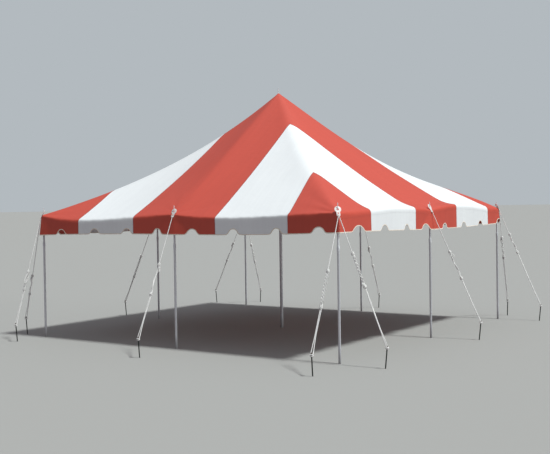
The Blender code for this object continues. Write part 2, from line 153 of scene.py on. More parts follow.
world = bpy.data.worlds.new("studio")
world.use_nodes = True
bpy.context.scene.world = world
studio = world.node_tree
ray = add_node(studio, "ShaderNodeTexCoord").outputs["Generated"]
climb = add_node(studio, "ShaderNodeSeparateXYZ", {"Vector": ray}).outputs["Z"]
glow = add_node(studio, "ShaderNodeMapRange", {"Value": climb, "To Min": SURROUND_AT_HORIZON,
                                               "To Max": SURROUND_OVERHEAD})
lighting = add_node(studio, "ShaderNodeBackground", {"Color": SURROUND_COLOUR, "Strength": glow})
backdrop = add_node(studio, "ShaderNodeBackground", {"Color": BACKDROP_COLOUR})
seen = add_node(studio, "ShaderNodeLightPath").outputs["Is Camera Ray"]
chosen = add_node(studio, "ShaderNodeMixShader", {0: seen, 1: lighting, 2: backdrop})
fill(studio.nodes["World Output"], {"Surface": chosen})
bpy.context.scene.view_settings.view_transform = "Standard"

# Side poles: eight galvanised steel tubes, each in two lengths. The thinner upper length plugs into a swaged
# sleeve at about 1.65 m and is held by a sprung button; a pin on its top goes up through the canopy.
POLES = {
    "front_left": (-1, -1), "front_middle": (0, -1), "front_right": (1, -1), "right_middle": (1, 0),
    "back_right": (1, 1), "back_middle": (0, 1), "back_left": (-1, 1), "left_middle": (-1, 0),
}
POLE_RADIUS = 0.019
POLE_TOP_RADIUS = 0.016
SLEEVE_RADIUS = 0.0225
SLEEVE_LOW = 1.615
SLEEVE_HIGH = 1.685
SEAT_RADIUS = 0.010
PIN_RADIUS = 0.0055
PIN_RISE = 0.125
BUTTON_RADIUS = 0.0045
CLOTH = 0.0012              # vinyl and its scrim, about twice the real thickness
POLE_SIDES = 32
ZINC_COLOUR = "#E2E9EB"
ZINC_DULL_COLOUR = "#BCC3C5"
ZINC_SPANGLE = 0.014        # width of a crystal of zinc
SOIL_COLOUR = "#5A564C"
SOIL_HEIGHT = 0.22
CRIMP_INSET = 0.018         # from each end of the sleeve
CRIMP_DEPTH = 0.0012
CRIMP_REACH = 0.003
EDGE = 0.001                # rounding of the tubes' edges
TAPER = 0.014               # length over which a pole's top narrows to its seat

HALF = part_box("pole_front_right")[0].lerp(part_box("pole_front_right")[1], 0.5).x
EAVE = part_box("pole_front_right")[1].z - PIN_RISE


def round_of(count):
    # Angles evenly round a circle.
    return [2 * pi * i / count for i in range(count)]


def loft(bm, rings, closed=False):
    # Faces between neighbouring rings of points, and if closed also from the last ring to the first.
    rings = [[bm.verts.new(p) for p in ring] for ring in rings]
    for a, b in zip(rings, rings[1:] + rings[:1] * closed):
        for k in range(len(a)):
            n = (k + 1) % len(a)
            bm.faces.new((a[k], a[n], b[n], b[k]))
    return rings


def turned(sections, start, direction, sides):
    # Closed round body along an axis. Sections are (distance along the axis, radius).
    bm = bmesh.new()
    turn = direction.to_track_quat("Z", "Y").to_matrix()
    rings = loft(bm, [[start + turn @ Vector((radius * cos(a), radius * sin(a), along))
                       for a in round_of(sides)] for along, radius in sections])
    bm.faces.new(rings[0][::-1])
    bm.faces.new(rings[-1])
    return bm


def place(name, mesh, slot, *stood_for):
    # The finished piece, riding on the tent and standing for its plain solids.
    piece = new_object(name, mesh)
    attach(piece, "root")
    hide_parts(*stood_for)
    return piece


def place_form(name, bm, material, slot, *stood_for, sharp=40):
    # The same from a bmesh, with outward faces, smooth but for edges that turn more than sharp degrees.
    bmesh.ops.recalc_face_normals(bm, faces=bm.faces)
    mesh = bpy.data.meshes.new(name)
    bm.to_mesh(mesh)
    bm.free()
    mesh.materials.append(material)
    mesh.shade_smooth()
    mesh.set_sharp_from_angle(angle=radians(sharp))
    return place(name, mesh, slot, *stood_for)


def galvanised_steel():
    # Hot-dipped zinc: a dull grey metal with a faint crystal spangle, duller and stained towards the foot.
    material, tree, shader = new_material("galvanised_steel_tube")
    coords = add_node(tree, "ShaderNodeTexCoord").outputs["Object"]
    crystals = add_node(tree, "ShaderNodeTexVoronoi", {"Vector": coords, "Scale": 1 / ZINC_SPANGLE})
    shade = add_node(tree, "ShaderNodeSeparateColor", {"Color": crystals.outputs["Color"]})
    stains = add_node(tree, "ShaderNodeTexNoise", {"Vector": coords, "Scale": 9.0, "Detail": 5.0})
    faint = add_node(tree, "ShaderNodeMath", {0: shade, 1: 0.35}, operation="MULTIPLY")
    dulled = add_node(tree, "ShaderNodeMath", {0: faint, 1: stains}, operation="MULTIPLY")
    clean = add_node(tree, "ShaderNodeMix", {0: dulled, 6: ZINC_COLOUR, 7: ZINC_DULL_COLOUR},
                     data_type="RGBA")
    height = add_node(tree, "ShaderNodeSeparateXYZ", {"Vector": coords}).outputs["Z"]
    soil = add_node(tree, "ShaderNodeMapRange", {"Value": height, "From Max": SOIL_HEIGHT, "To Min": 0.55,
                                                 "To Max": 0.0})
    soiled = add_node(tree, "ShaderNodeMix", {0: soil, 6: clean.outputs[2], 7: SOIL_COLOUR},
                      data_type="RGBA")
    rough = add_node(tree, "ShaderNodeMapRange", {"Value": stains, "To Min": 0.34, "To Max": 0.58})
    relief = add_node(tree, "ShaderNodeBump", {"Height": stains, "Strength": 0.25, "Distance": 0.0006})
    fill(shader, {"Base Color": soiled.outputs[2], "Metallic": 0.15, "Roughness": rough, "Normal": relief})
    return material


zinc = galvanised_steel()
UP = Vector((0.0, 0.0, 1.0))
for pole, (x, y) in POLES.items():
    foot = Vector((x * HALF, y * HALF, 0.0))
    seat = EAVE - 2 * CLOTH
    crimps = [(middle + shift, SLEEVE_RADIUS - CRIMP_DEPTH * (shift == 0))
              for middle in (SLEEVE_LOW + CRIMP_INSET, SLEEVE_HIGH - CRIMP_INSET)
              for shift in (-CRIMP_REACH, 0, CRIMP_REACH)]
    bm = turned([
        (0.0, POLE_RADIUS - 3 * EDGE), (1.5 * EDGE, POLE_RADIUS - EDGE), (4 * EDGE, POLE_RADIUS),
        (SLEEVE_LOW - 6 * EDGE, POLE_RADIUS), (SLEEVE_LOW, SLEEVE_RADIUS - EDGE),
        (SLEEVE_LOW + 3 * EDGE, SLEEVE_RADIUS), *crimps, (SLEEVE_HIGH - 2 * EDGE, SLEEVE_RADIUS),
        (SLEEVE_HIGH, SLEEVE_RADIUS - EDGE), (SLEEVE_HIGH, POLE_TOP_RADIUS), (seat - TAPER, POLE_TOP_RADIUS),
        (seat - 4 * EDGE, SEAT_RADIUS + 2 * EDGE), (seat, SEAT_RADIUS), (seat, PIN_RADIUS),
        (EAVE + PIN_RISE - 2 * PIN_RADIUS, PIN_RADIUS), (EAVE + PIN_RISE - PIN_RADIUS, PIN_RADIUS * 0.8),
        (EAVE + PIN_RISE, PIN_RADIUS * 0.35),
    ], foot, UP, POLE_SIDES)
    away = Vector((x, y, 0.0)).normalized()
    button = Matrix.Translation(foot + away * SLEEVE_RADIUS + UP * (SLEEVE_LOW + SLEEVE_HIGH) / 2)
    bmesh.ops.create_uvsphere(bm, u_segments=12, v_segments=8, radius=BUTTON_RADIUS, matrix=button)
    place_form("side_pole_" + pole, bm, zinc, "pole_steel", "pole_" + pole)

# Centre pole: one heavier galvanised tube. Its top is turned down to a shoulder that lifts the peak of the
# canopy, and a steel spike on it stands out through the peak.
CENTRE_RADIUS = 0.028
CENTRE_SEAT_RADIUS = 0.018
SPIKE_RADIUS = 0.008
SPIKE_RISE = 0.095
# The turned-down top: (depth below the peak, radius).
CENTRE_TOP = ((0.075, CENTRE_RADIUS), (0.035, CENTRE_SEAT_RADIUS), (0.018, SPIKE_RADIUS + 0.003),
              (0.012, SPIKE_RADIUS))

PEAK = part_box("centre_pole")[1].z - SPIKE_RISE
bm = turned([
    (0.0, CENTRE_RADIUS - 3 * EDGE), (1.5 * EDGE, CENTRE_RADIUS - EDGE), (4 * EDGE, CENTRE_RADIUS),
    *[(PEAK - depth, radius) for depth, radius in CENTRE_TOP],
    (PEAK + SPIKE_RISE - 3 * SPIKE_RADIUS, SPIKE_RADIUS),
    (PEAK + SPIKE_RISE - SPIKE_RADIUS, SPIKE_RADIUS * 0.7), (PEAK + SPIKE_RISE, SPIKE_RADIUS / 3),
], Vector((0.0, 0.0, 0.0)), UP, POLE_SIDES)
place_form("centre_mast", bm, zinc, "pole_steel", "centre_pole")

# Canopy: one sheet of coated vinyl, welded from red and white strips 5 ft wide that run down each slope and
# meet in mitres at the hips. The poles and guy ropes stretch it, so it swoops between them, creases fan out
# from the pole tops, and it rolls over at the eaves into the upright edge.
RISE = PEAK - EAVE
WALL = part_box("valance_right")[1].x     # plane in which the upright edge hangs
STRIP = HALF / 2                        # 5 ft
SEAMS = (STRIP / 2, STRIP * 3 / 2)      # of the cut cloth, from the middle of a side
# Each side runs from its own corner, anticlockwise seen from above, to the next side's corner.
SIDES = ("front", "right", "back", "left")
CORNERS = ("front_left", "front_right", "back_right", "back_left")
# The ropes draw the strips out unevenly: where each side's four seams reach the eave, from its middle, and
# how far out along each hip, in plan, the mitres of its inner and outer seams lie.
EAVE_SEAMS = {
    "front": (-2.14, -0.865, 0.85, 2.205), "right": (-2.125, -0.60, 1.035, 2.49),
    "back": (-2.20, -0.84, 0.84, 2.20), "left": (-2.20, -0.84, 0.84, 2.20),
}
MITRES = {"front_left": (0.72, 2.15), "front_right": (0.72, 1.975), "back_right": (0.81, 2.09),
          "back_left": (0.72, 2.20)}
# How far the cloth swoops below a straight line, halfway up from each corner pole and each middle pole. A
# hip's second value says how much its swoop leans towards the peak, its third how much it fades towards both
# ends.
HIP_DIPS = {"front_left": (0.26, 0.26, 0.0), "front_right": (0.155, 0.26, 0.0),
            "back_right": (0.28, 0.33, 0.66), "back_left": (0.25, 0.26, 0.0)}
RIDGE_DIPS = {"front": 0.03, "right": 0.13, "back": 0.08, "left": 0.10}
RIDGE_LEAN = -0.20
# In the first and second half of each side: the hollow of the cloth between two ridges and the sag of the
# eave between two poles, both below zero where it bows up, how much that sag leans towards the corner, the
# radius of the eave's roll, and how far the cloth lifts just before the roll, where it levels out.
BAYS = {
    "front": ((0.046, 0.072, 1.6, 0.072, 0.0), (0.037, 0.048, -1.8, 0.055, 0.0)),
    "right": ((-0.035, 0.018, 0.0, 0.065, 0.066), (-0.042, 0.010, 0.0, 0.065, 0.082)),
    "back": ((0.0, 0.035, 0.0, 0.055, 0.020), (0.0, 0.045, 0.0, 0.055, 0.020)),
    "left": ((0.0, 0.045, 0.0, 0.055, 0.020), (0.0, 0.025, 0.0, 0.055, 0.020)),
}
LIFT_BREADTH = 0.34
LIFT_LEAN = -1.3
CREASING = {"front": 2.4, "right": 1.0, "back": 1.5, "left": 1.5}     # how sharply each eave turns over
PUCKER = 0.006                          # height of the small puckers along the eaves
HIP_ROUND = 0.22                        # sets the breadth over which a slope turns into the next
RIDGE_ROUND = 0.07
GRID_EDGE = WALL - 0.07                 # where the eave's roll begins
EDGE_BLEND = 0.15                       # stretch over which a corner shares in the edge's moves
ROLL_AT_POLE = 0.030
LAP = 0.085                             # sheet below the eave, lapped over the valance
CORNER_ROUND = 0.030
CORNER_FLARE = 0.025                    # a corner of the hem stands out this far
MIDDLE_FLARE = 0.036                    # and the hem at a middle pole this far
VALANCE_DEPTH = 0.31
CORNER_PLEAT = (0.030, 0.30)            # a pleat's half width at the eave, and its growth down to the hem
MIDDLE_PLEAT = (0.012, 0.40)
# Slow folds up the slopes: (height, number round the tent, phase). Then the waves of the upright edge between
# its pleats: (share, radians per metre, phase).
FOLDS = ((0.0020, 11, 0.7), (0.0014, 23, 2.1), (0.0008, 41, 4.4))
WAVES = ((0.6, 5.3, 0.8), (0.4, 11.9, 2.2))
WAVE_HEIGHT = 0.007
RED_VINYL_COLOUR = "#D05441"
RED_WELD_SHADE_AND_STREAK_COLOUR = "#9E3F36"             # of its welds and rain streaks, and of painted shade along each weld's lap
WHITE_VINYL_COLOUR = "#F6FEFD"
# White strips: the colour of their welds and rain streaks, and of painted shade along each weld's lap.
WHITE_WELD_SHADE_AND_STREAK_COLOUR = "#CDD3D4"
SEAM_BAND = 0.025                       # width of a weld
THREAD_PITCH = 0.006                    # of the scrim, four times the real one, so that it shows at all
# Two deeper creases at the near corner pole: (direction in degrees, height, angular width, length). Then the
# small ones' number and spread in degrees at a corner pole and at a middle pole.
NEAR_CREASES = ((171, -0.014, 0.15, 0.20), (152, -0.009, 0.12, 0.30))
CORNER_CREASES = (7, 40)
MIDDLE_CREASES = (9, 76)
# Number of grid steps, and each step's ratio to the one before, from the peak to each seam and to the roll.
GRID_STEPS = ((25, 1.04), (38, 1.0), (28, 0.955))
SPIKE_HOLE = SPIKE_RADIUS + 0.0015
ROLL_ROWS = 9

hips, mitres = [np.array([[values[CORNERS[(k + half) % 4]] for half in (0, 1)] for k in range(4)])
                for values in (HIP_DIPS, MITRES)]
ridge_dips, creasing = [np.array([values[side] for side in SIDES]) for values in (RIDGE_DIPS, CREASING)]
seam_ends = np.array([[(-b, -a), (c, d)] for a, b, c, d in (EAVE_SEAMS[side] for side in SIDES)])
hollows, sags, sag_leans, rolls, lifts = np.moveaxis(np.array([BAYS[side] for side in SIDES]), 2, 0)


def smooth(t):
    t = np.clip(t, 0.0, 1.0)
    return t * t * (3 - 2 * t)


def bay_wave(across):
    # 0 at a pole, 1 midway between a middle pole and a corner pole.
    return 4 * across * (1 - across)


def side_and_half(x, y):
    # The number of the side that a plan point is on, its place along it, and the half that it is in.
    side = np.where(np.abs(y) > np.abs(x), np.where(y < 0, 0, 2), np.where(x > 0, 1, 3))
    along = np.choose(side, [x, y, -x, -y])
    return side, along, (along > 0).astype(int)


def out_and_near(x, y):
    # A plan point's larger and smaller distance from the tent's two middle planes.
    return np.maximum(np.abs(x), np.abs(y)), np.minimum(np.abs(x), np.abs(y))


def ramps(p, before, after):
    # Places p moved so that each place in before goes to the one in after, and evenly between them.
    moved = np.zeros_like(p)
    for a, b, c, d in zip(before, before[1:], after, after[1:]):
        moved += np.clip((p - a) / np.maximum(b - a, 1e-9), 0.0, 1.0) * (d - c)
    return moved


def drawn_out(u, v):
    # Plan place on the pitched tent of a plan place on the evenly cut cloth.
    side, along, half = side_and_half(u, v)
    out, near = out_and_near(u, v)
    tips = mitres[side, half]
    ends = seam_ends[side, half]
    hip = ramps(out, (0.0, *SEAMS, GRID_EDGE), (0.0, tips[..., 0], tips[..., 1], GRID_EDGE))
    marks = [0.0]
    for k, seam in enumerate(SEAMS):
        line = tips[..., k] + (ends[..., k] - tips[..., k]) * (out - seam) / (GRID_EDGE - seam)
        marks.append(np.where(out > seam, line, hip))
    new_near = ramps(near, (0.0, np.minimum(SEAMS[0], out), np.minimum(SEAMS[1], out), out), marks + [hip])
    new_out = out + (hip - out) * (near / out) ** 2
    steep = np.abs(v) > np.abs(u)
    return np.sign(u) * np.where(steep, new_near, new_out), np.sign(v) * np.where(steep, new_out, new_near)


def pole_creases():
    # Creases that fan out from each pole top: (pole x, pole y, direction, height, angular width, length).
    chance = random.Random(11)
    found = [(HALF, -HALF, radians(turn), *rest) for turn, *rest in NEAR_CREASES]
    for x, y in POLES.values():
        count, spread = CORNER_CREASES if x and y else MIDDLE_CREASES
        for i in range(count):
            turn = radians(spread) * (2 * (i + chance.uniform(0.2, 0.8)) / count - 1)
            height = chance.uniform(0.0015, 0.004) * (1 if i % 2 else -1)
            found.append((x * HALF, y * HALF, atan2(-y, -x) + turn, height, chance.uniform(0.06, 0.10),
                          chance.uniform(0.15, 0.30)))
    return found


CREASES = pole_creases()


def pitched(x, y):
    # Height of the cloth over plan points as the poles and ropes hold it, with sharp hips.
    side, along, half = side_and_half(x, y)
    out, near = out_and_near(x, y)
    near = np.sqrt(near ** 2 + RIDGE_ROUND ** 2) - RIDGE_ROUND * (1 - near / out)
    across = np.clip(near / out, 0.0, 1.0)
    reach = out / HALF
    wave = bay_wave(across)
    hip_dip, hip_lean, hip_fade = np.moveaxis(hips[side, half], -1, 0)
    dip = ridge_dips[side] * (1 - across) + hip_dip * across + hollows[side, half] * wave
    lean = RIDGE_LEAN + (hip_lean - RIDGE_LEAN) * across
    low = 1 - 2 * reach
    swoop = dip * 4 * reach * (1 - reach) * (1 + lean * low - hip_fade * across * low ** 2)
    lift = lifts[side, half] * np.clip(1 - (HALF - out) / LIFT_BREADTH, 0.0, 1.1) ** 2
    lift = lift * (1 + LIFT_LEAN * (across - 0.5))
    sag = sags[side, half] * reach ** 2 * (1 + sag_leans[side, half] * (across - 0.5))
    return PEAK - RISE * reach - swoop + (lift - sag) * wave


def roof_surface(x, y):
    # The same with its hips rounded over, with slow folds up the slopes and with the poles' creases.
    out, near = out_and_near(x, y)
    share = np.clip(out / HALF, 0.0, 1.0)
    breadth = HIP_ROUND * np.sqrt(share * (1 - share)) * near / out
    slant = np.where(x * y > 0, -1.0, 1.0)
    z = 0
    for k in range(-3, 4):
        z = z + (4 - abs(k)) / 16 * pitched(x + breadth * k / 3, y + slant * breadth * k / 3)
    turn = np.arctan2(y, x)
    swell = share ** 1.5 * (1.05 - share) * 2.6
    z += swell * sum(height * np.sin(number * turn + phase) for height, number, phase in FOLDS)
    z += 0.0015 * share * np.sin(5.1 * x + 1.7 * y + 0.4) * np.sin(4.3 * y - 1.9 * x + 1.1)
    for pole_x, pole_y, direction, height, width, length in CREASES:
        dx, dy = x - pole_x, y - pole_y
        r = np.hypot(dx, dy)
        angle = (np.arctan2(dy, dx) - direction + pi) % (2 * pi) - pi
        z += height * np.exp(-(angle / width) ** 2) * r / length * np.exp(1 - r / length)
    return z


def outward(p):
    # How far a plan coordinate moves per metre that the edge moves out: all of it on the edge, spread over
    # the last stretch before a corner.
    return np.sign(p) * smooth((np.abs(p) - (GRID_EDGE - EDGE_BLEND)) / EDGE_BLEND)


def pleat(distance, depth, width):
    # 1 on a pleat's ridge, 0 off the pleat, which widens as it runs down.
    return np.clip(1 - distance / (width[0] + width[1] * depth), 0, 1)


def hanging(along, drop):
    # How far the upright edge stands out of its plane: a shallow pleat widens down from each middle pole,
    # and the cloth between the poles hangs in slow waves.
    depth = np.clip(drop, 0, None) / VALANCE_DEPTH
    wave = sum(share * np.sin(along * rate + phase) for share, rate, phase in WAVES)
    free = smooth((HALF - np.abs(along)) / 0.35) * smooth(np.abs(along) / 0.3)
    return depth * (MIDDLE_FLARE * pleat(np.abs(along), depth, MIDDLE_PLEAT) + WAVE_HEIGHT * wave * free)


def at_corner(x, y, drop):
    # The upright edge turns each corner on a small radius, and a pleat flares out from under the tab.
    inner = WALL - CORNER_ROUND
    u, v = [np.clip((np.abs(p) - inner) / CORNER_ROUND, 0, 1.1) for p in (x, y)]
    depth = np.clip(drop, 0, None) / VALANCE_DEPTH
    flare = CORNER_FLARE * depth * pleat(WALL - out_and_near(x, y)[1], depth, CORNER_PLEAT)
    return [np.where((u > 0) & (v > 0), np.sign(p) * (inner + CORNER_ROUND * a * np.sqrt(1 - b * b / 2)), p)
            + outward(p) * flare for p, a, b in ((x, u, v), (y, v, u))]


def graded(start, end, count, ratio):
    # Places from start to end, each step ratio times the one before, without start itself.
    steps = ratio ** np.arange(count)
    return start + (end - start) * np.cumsum(steps) / steps.sum()


stops = (SPIKE_HOLE, *SEAMS, GRID_EDGE)
half_axis = np.concatenate([[SPIKE_HOLE]] + [graded(*span, *steps)
                                             for *span, steps in zip(stops, stops[1:], GRID_STEPS)])
axis = np.concatenate([-half_axis[::-1], half_axis])
count = len(axis)


def is_red(p, q):
    # Whether the cloth between two places on the cut cloth is of a red strip.
    near = min(abs(p[0] + q[0]), abs(p[1] + q[1])) / 2
    return near < SEAMS[0] or near > SEAMS[1]


# The slopes, on a square grid on the cut cloth, so that every seam and hip lies on an edge of the mesh.
cut_x, cut_y = np.meshgrid(axis, axis, indexing="ij")
grid_x, grid_y = drawn_out(cut_x, cut_y)
points = list(zip(grid_x.ravel(), grid_y.ravel(), roof_surface(grid_x, grid_y).ravel()))
cut_places = list(zip(cut_x.ravel(), cut_y.ravel()))
faces = []
reds = []
for i in range(count - 1):
    for j in range(count - 1):
        if i == j == count // 2 - 1:
            continue
        a, b, c, d = i * count + j, (i + 1) * count + j, (i + 1) * count + j + 1, i * count + j + 1
        if i == j:
            pieces = [(a, b, c), (a, c, d)]
        elif i + j == count - 2:
            pieces = [(a, b, d), (b, c, d)]
        else:
            pieces = [(a, b, c, d)]
        faces += pieces
        reds += [is_red((axis[i], axis[j]), (axis[i + 1], axis[j + 1]))] * len(pieces)

# The roll at the eave and the turned-down edge, row by row round all four sides.
last = count - 1
ring = ([(i, 0) for i in range(last)] + [(last, j) for j in range(last)]
        + [(i, last) for i in range(last, 0, -1)] + [(0, j) for j in range(last, 0, -1)])
ring_cut = [(axis[i], axis[j]) for i, j in ring]
ring_x, ring_y = drawn_out(*np.array(ring_cut).T)
ring_side, ring_along, ring_half = side_and_half(ring_x, ring_y)
side_x, side_y = outward(ring_x), outward(ring_y)
run = WALL - GRID_EDGE
# The roll is tight over a pole and slack between poles.
off_pole = np.minimum(np.abs(ring_along), np.abs(HALF - np.abs(ring_along)))
size = ROLL_AT_POLE + (rolls[ring_side, ring_half] - ROLL_AT_POLE) * smooth(off_pole / 0.5)


def at_run(distance):
    # Height of the slope, carried on, at a distance out from the grid's edge.
    return roof_surface(ring_x + side_x * distance, ring_y + side_y * distance)


slope = (at_run(run * 0.6) - at_run(0.0)) / (run * 0.6)
level_run = run - size / np.sqrt(1 + slope ** 2)
start_height = at_run(level_run)
corner_height = start_height + slope * (run - level_run)
fold_height = corner_height + (PUCKER * smooth(off_pole / 0.4) * np.sin(31 * ring_along)
                               * np.sin(13 * ring_along + ring_side))
previous = [i * count + j for i, j in ring]
rows = [(level_run * t, at_run(level_run * t)) for t in (0.5, 1.0)]
for k in range(1, ROLL_ROWS + 1):
    t = k / ROLL_ROWS
    before, turning, after = (1 - t) ** 2, creasing[ring_side] * 2 * t * (1 - t), t * t
    whole = before + turning + after
    rows.append(((level_run * before + run * (turning + after)) / whole,
                 (start_height * before + fold_height * turning + (corner_height - size) * after) / whole))
rows.append((run + 0 * size, corner_height - LAP))
for distance, z in rows:
    drop = corner_height - z
    distance = distance + hanging(ring_along, drop)
    new_x, new_y = at_corner(ring_x + side_x * distance, ring_y + side_y * distance, drop)
    first = len(points)
    points += list(zip(new_x, new_y, z))
    cut_places += ring_cut
    current = [first + k for k in range(len(ring))]
    for k in range(len(ring)):
        n = (k + 1) % len(ring)
        faces.append((previous[k], current[k], current[n], previous[n]))
        reds.append(is_red(ring_cut[k], ring_cut[n]))
    previous = current


def vinyl(name, colour, weld_shade_and_streak_colour):
    # PVC-coated polyester, heat welded: a satin skin over a scrim whose threads just print through. Each seam
    # is a flattened double band, darker both in the weld's own colour and as painted shade of its lap. Rain
    # leaves faint streaks down the slope.
    material, tree, shader = new_material(name)
    cloth = add_node(tree, "ShaderNodeUVMap", uv_map="cloth").outputs[0]
    along = add_node(tree, "ShaderNodeSeparateXYZ", {"Vector": cloth}).outputs["X"]
    either = add_node(tree, "ShaderNodeMath", {0: along}, operation="ABSOLUTE")
    folded = add_node(tree, "ShaderNodeMath", {0: either, 1: SEAMS[0]}, operation="PINGPONG")
    off_seam = add_node(tree, "ShaderNodeMath", {0: SEAMS[0], 1: folded}, operation="SUBTRACT")
    band = add_node(tree, "ShaderNodeMapRange", {
        "Value": off_seam, "From Min": SEAM_BAND / 2 - 0.001, "From Max": SEAM_BAND / 2 + 0.001,
        "To Min": 1.0, "To Max": 0.0})
    coords = add_node(tree, "ShaderNodeTexCoord").outputs["Object"]
    clouds = add_node(tree, "ShaderNodeTexNoise", {"Vector": coords, "Scale": 1.3, "Detail": 4.0})
    drawn_down = add_node(tree, "ShaderNodeMapping", {"Vector": cloth, "Scale": (14.0, 0.7, 1.0)})
    streaks = add_node(tree, "ShaderNodeTexNoise", {"Vector": drawn_down, "Scale": 1.0, "Detail": 5.0})
    marks = add_node(tree, "ShaderNodeMath", {0: clouds, 1: streaks}, operation="ADD")
    worn = add_node(tree, "ShaderNodeMapRange", {"Value": marks, "From Min": 0.7, "From Max": 1.35,
                                                 "To Max": 0.16})
    aged = add_node(tree, "ShaderNodeMix", {0: worn, 6: colour, 7: weld_shade_and_streak_colour}, data_type="RGBA")
    # The weld band is darkened: the weld's own colour and painted shade of its lap, in one mix.
    painted_lap_shade = add_node(tree, "ShaderNodeMath", {0: band, 1: 0.45}, operation="MULTIPLY")
    welded_and_lap_shaded = add_node(tree, "ShaderNodeMix", {0: painted_lap_shade, 6: aged.outputs[2], 7: weld_shade_and_streak_colour},
                      data_type="RGBA")
    rough = add_node(tree, "ShaderNodeMapRange", {"Value": clouds, "To Min": 0.40, "To Max": 0.60})
    warp, weft = [add_node(tree, "ShaderNodeTexWave", {"Vector": cloth, "Scale": 0.5 / THREAD_PITCH},
                           wave_type="BANDS", bands_direction=way).outputs["Fac"] for way in ("X", "Y")]
    scrim = add_node(tree, "ShaderNodeMath", {0: warp, 1: weft}, operation="MAXIMUM")
    rumple = add_node(tree, "ShaderNodeTexNoise", {"Vector": cloth, "Scale": 7.0, "Detail": 3.0})
    relief = add_node(tree, "ShaderNodeBump", {"Height": scrim, "Strength": 0.12, "Distance": 0.0004})
    for height, strength, depth in ((band, 0.8, 0.001), (rumple, 0.35, 0.006)):
        relief = add_node(tree, "ShaderNodeBump", {"Height": height, "Strength": strength, "Distance": depth,
                                                   "Normal": relief})
    fill(shader, {"Base Color": welded_and_lap_shaded.outputs[2], "Roughness": rough, "Normal": relief,
                  "Coat Weight": 0.08, "Coat Roughness": 0.30})
    return material


red_vinyl = vinyl("red_pvc_coated_polyester", RED_VINYL_COLOUR, RED_WELD_SHADE_AND_STREAK_COLOUR)
white_vinyl = vinyl("white_pvc_coated_polyester", WHITE_VINYL_COLOUR, WHITE_WELD_SHADE_AND_STREAK_COLOUR)


def plain_mesh(carrier, name):
    # The mesh that an object and its modifiers make. The object goes.
    mesh = bpy.data.meshes.new_from_object(carrier.evaluated_get(bpy.context.evaluated_depsgraph_get()))
    bpy.data.objects.remove(carrier)
    mesh.name = name
    return mesh


def cloth_mesh(name, points, cut_places, faces, reds):
    # A solid sheet from a surface whose faces point out, and each point's place on the cut cloth. Its UV map
    # is in metres: along the side and down.
    mesh = bpy.data.meshes.new(name + "_surface")
    mesh.from_pydata([tuple(map(float, p)) for p in points], [], faces)
    mesh.materials.append(red_vinyl)
    mesh.materials.append(white_vinyl)
    mesh.polygons.foreach_set("material_index", [0 if red else 1 for red in reds])
    uv = mesh.uv_layers.new(name="cloth")
    for polygon in mesh.polygons:
        corners = [cut_places[i] for i in polygon.vertices]
        front_or_back = abs(sum(y for x, y in corners)) > abs(sum(x for x, y in corners))
        for loop in polygon.loop_indices:
            vertex = mesh.loops[loop].vertex_index
            x, y = cut_places[vertex]
            far, near = (y, x) if front_or_back else (x, y)
            uv.data[loop].uv = (near, 1.25 * abs(far) + EAVE - points[vertex][2])
    sheet = new_object(name + "_surface", mesh)
    wall = sheet.modifiers.new("thickness", "SOLIDIFY")
    wall.thickness = CLOTH
    wall.offset = -1.0
    solid = plain_mesh(sheet, name)
    solid.shade_smooth()
    solid.set_sharp_from_angle(angle=radians(50))
    return solid


canopy = place("canopy", cloth_mesh("canopy", points, cut_places, faces, reds), "canopy_red",
               *["roof_" + side for side in SIDES])

# Valance: a second band of the same striped vinyl, welded behind the canopy's turned-down edge and hanging
# free round all four sides. Its hem is cut with eight bell-shaped notches a side, none too evenly.
LAP_UNDER = 0.030
EAVE_ROLL = 0.035
VALANCE_DROP = 0.275
MIDDLE_DROP = 0.037         # the hem hangs lower by this at a middle pole
SLACK_CORNER_DROP = 0.06    # and by this at the front left corner, where the cloth is slack
HEM_SAGS = ((-0.015, 0.015), (-0.008, 0.008), (0.010, 0.010), (0.010, 0.010))   # of each side's two halves
NOTCH_HEIGHT = 0.09
NOTCH_FOOT_RADIUS = 0.085
# Each notch's place along its side and its width. The last on the right side is cut across by the corner.
NOTCHES = {
    "front": ((-2.57, 0.31), (-1.76, 0.32), (-1.01, 0.31), (-0.34, 0.29), (0.39, 0.33), (1.20, 0.31),
              (2.00, 0.30), (2.74, 0.32)),
    "right": ((-2.50, 0.44), (-1.68, 0.33), (-0.93, 0.29), (-0.24, 0.34), (0.54, 0.31), (1.35, 0.30),
              (2.13, 0.30), (3.03, 0.31)),
    "back": [(at, 0.31) for at in (-3.154, -2.42, -1.66, -0.90, -0.14, 0.62, 1.38, 2.15)],
    "left": [(at, 0.31) for at in (-2.59, -1.82, -1.06, -0.30, 0.46, 1.22, 1.98, 2.75)],
}
VALANCE_ROWS = 9
EVEN_COLUMNS = 80           # along a side, where there is no notch
NOTCH_COLUMNS = 33
CORNER_INSETS = (0.005, 0.011, 0.019, CORNER_ROUND)    # columns close together round a corner
BEHIND = 0.0016             # the valance's face behind the canopy's

# The line of the eave along each side, read off the canopy's own roll.
eave_lines = []
for side in range(4):
    order = np.arange(side * last, (side + 1) * last + 1) % len(ring)
    plan = np.array([ring_x, ring_y, -ring_x, -ring_y])[side, order]
    eave_lines.append((plan, corner_height[order]))


def notch_rise(off, width):
    # Height of the cut edge above the hem: a round crown on two feet that curve the other way.
    reach = width / 2
    crown = (reach ** 2 + NOTCH_HEIGHT ** 2) / (2 * NOTCH_HEIGHT) - NOTCH_FOOT_RADIUS
    off = np.minimum(np.abs(off), reach)
    foot = NOTCH_FOOT_RADIUS - np.sqrt(np.maximum(NOTCH_FOOT_RADIUS ** 2 - (reach - off) ** 2, 0))
    arch = NOTCH_HEIGHT - crown + np.sqrt(np.maximum(crown ** 2 - off ** 2, 0))
    return np.where(off < reach * crown / (crown + NOTCH_FOOT_RADIUS), arch, foot)


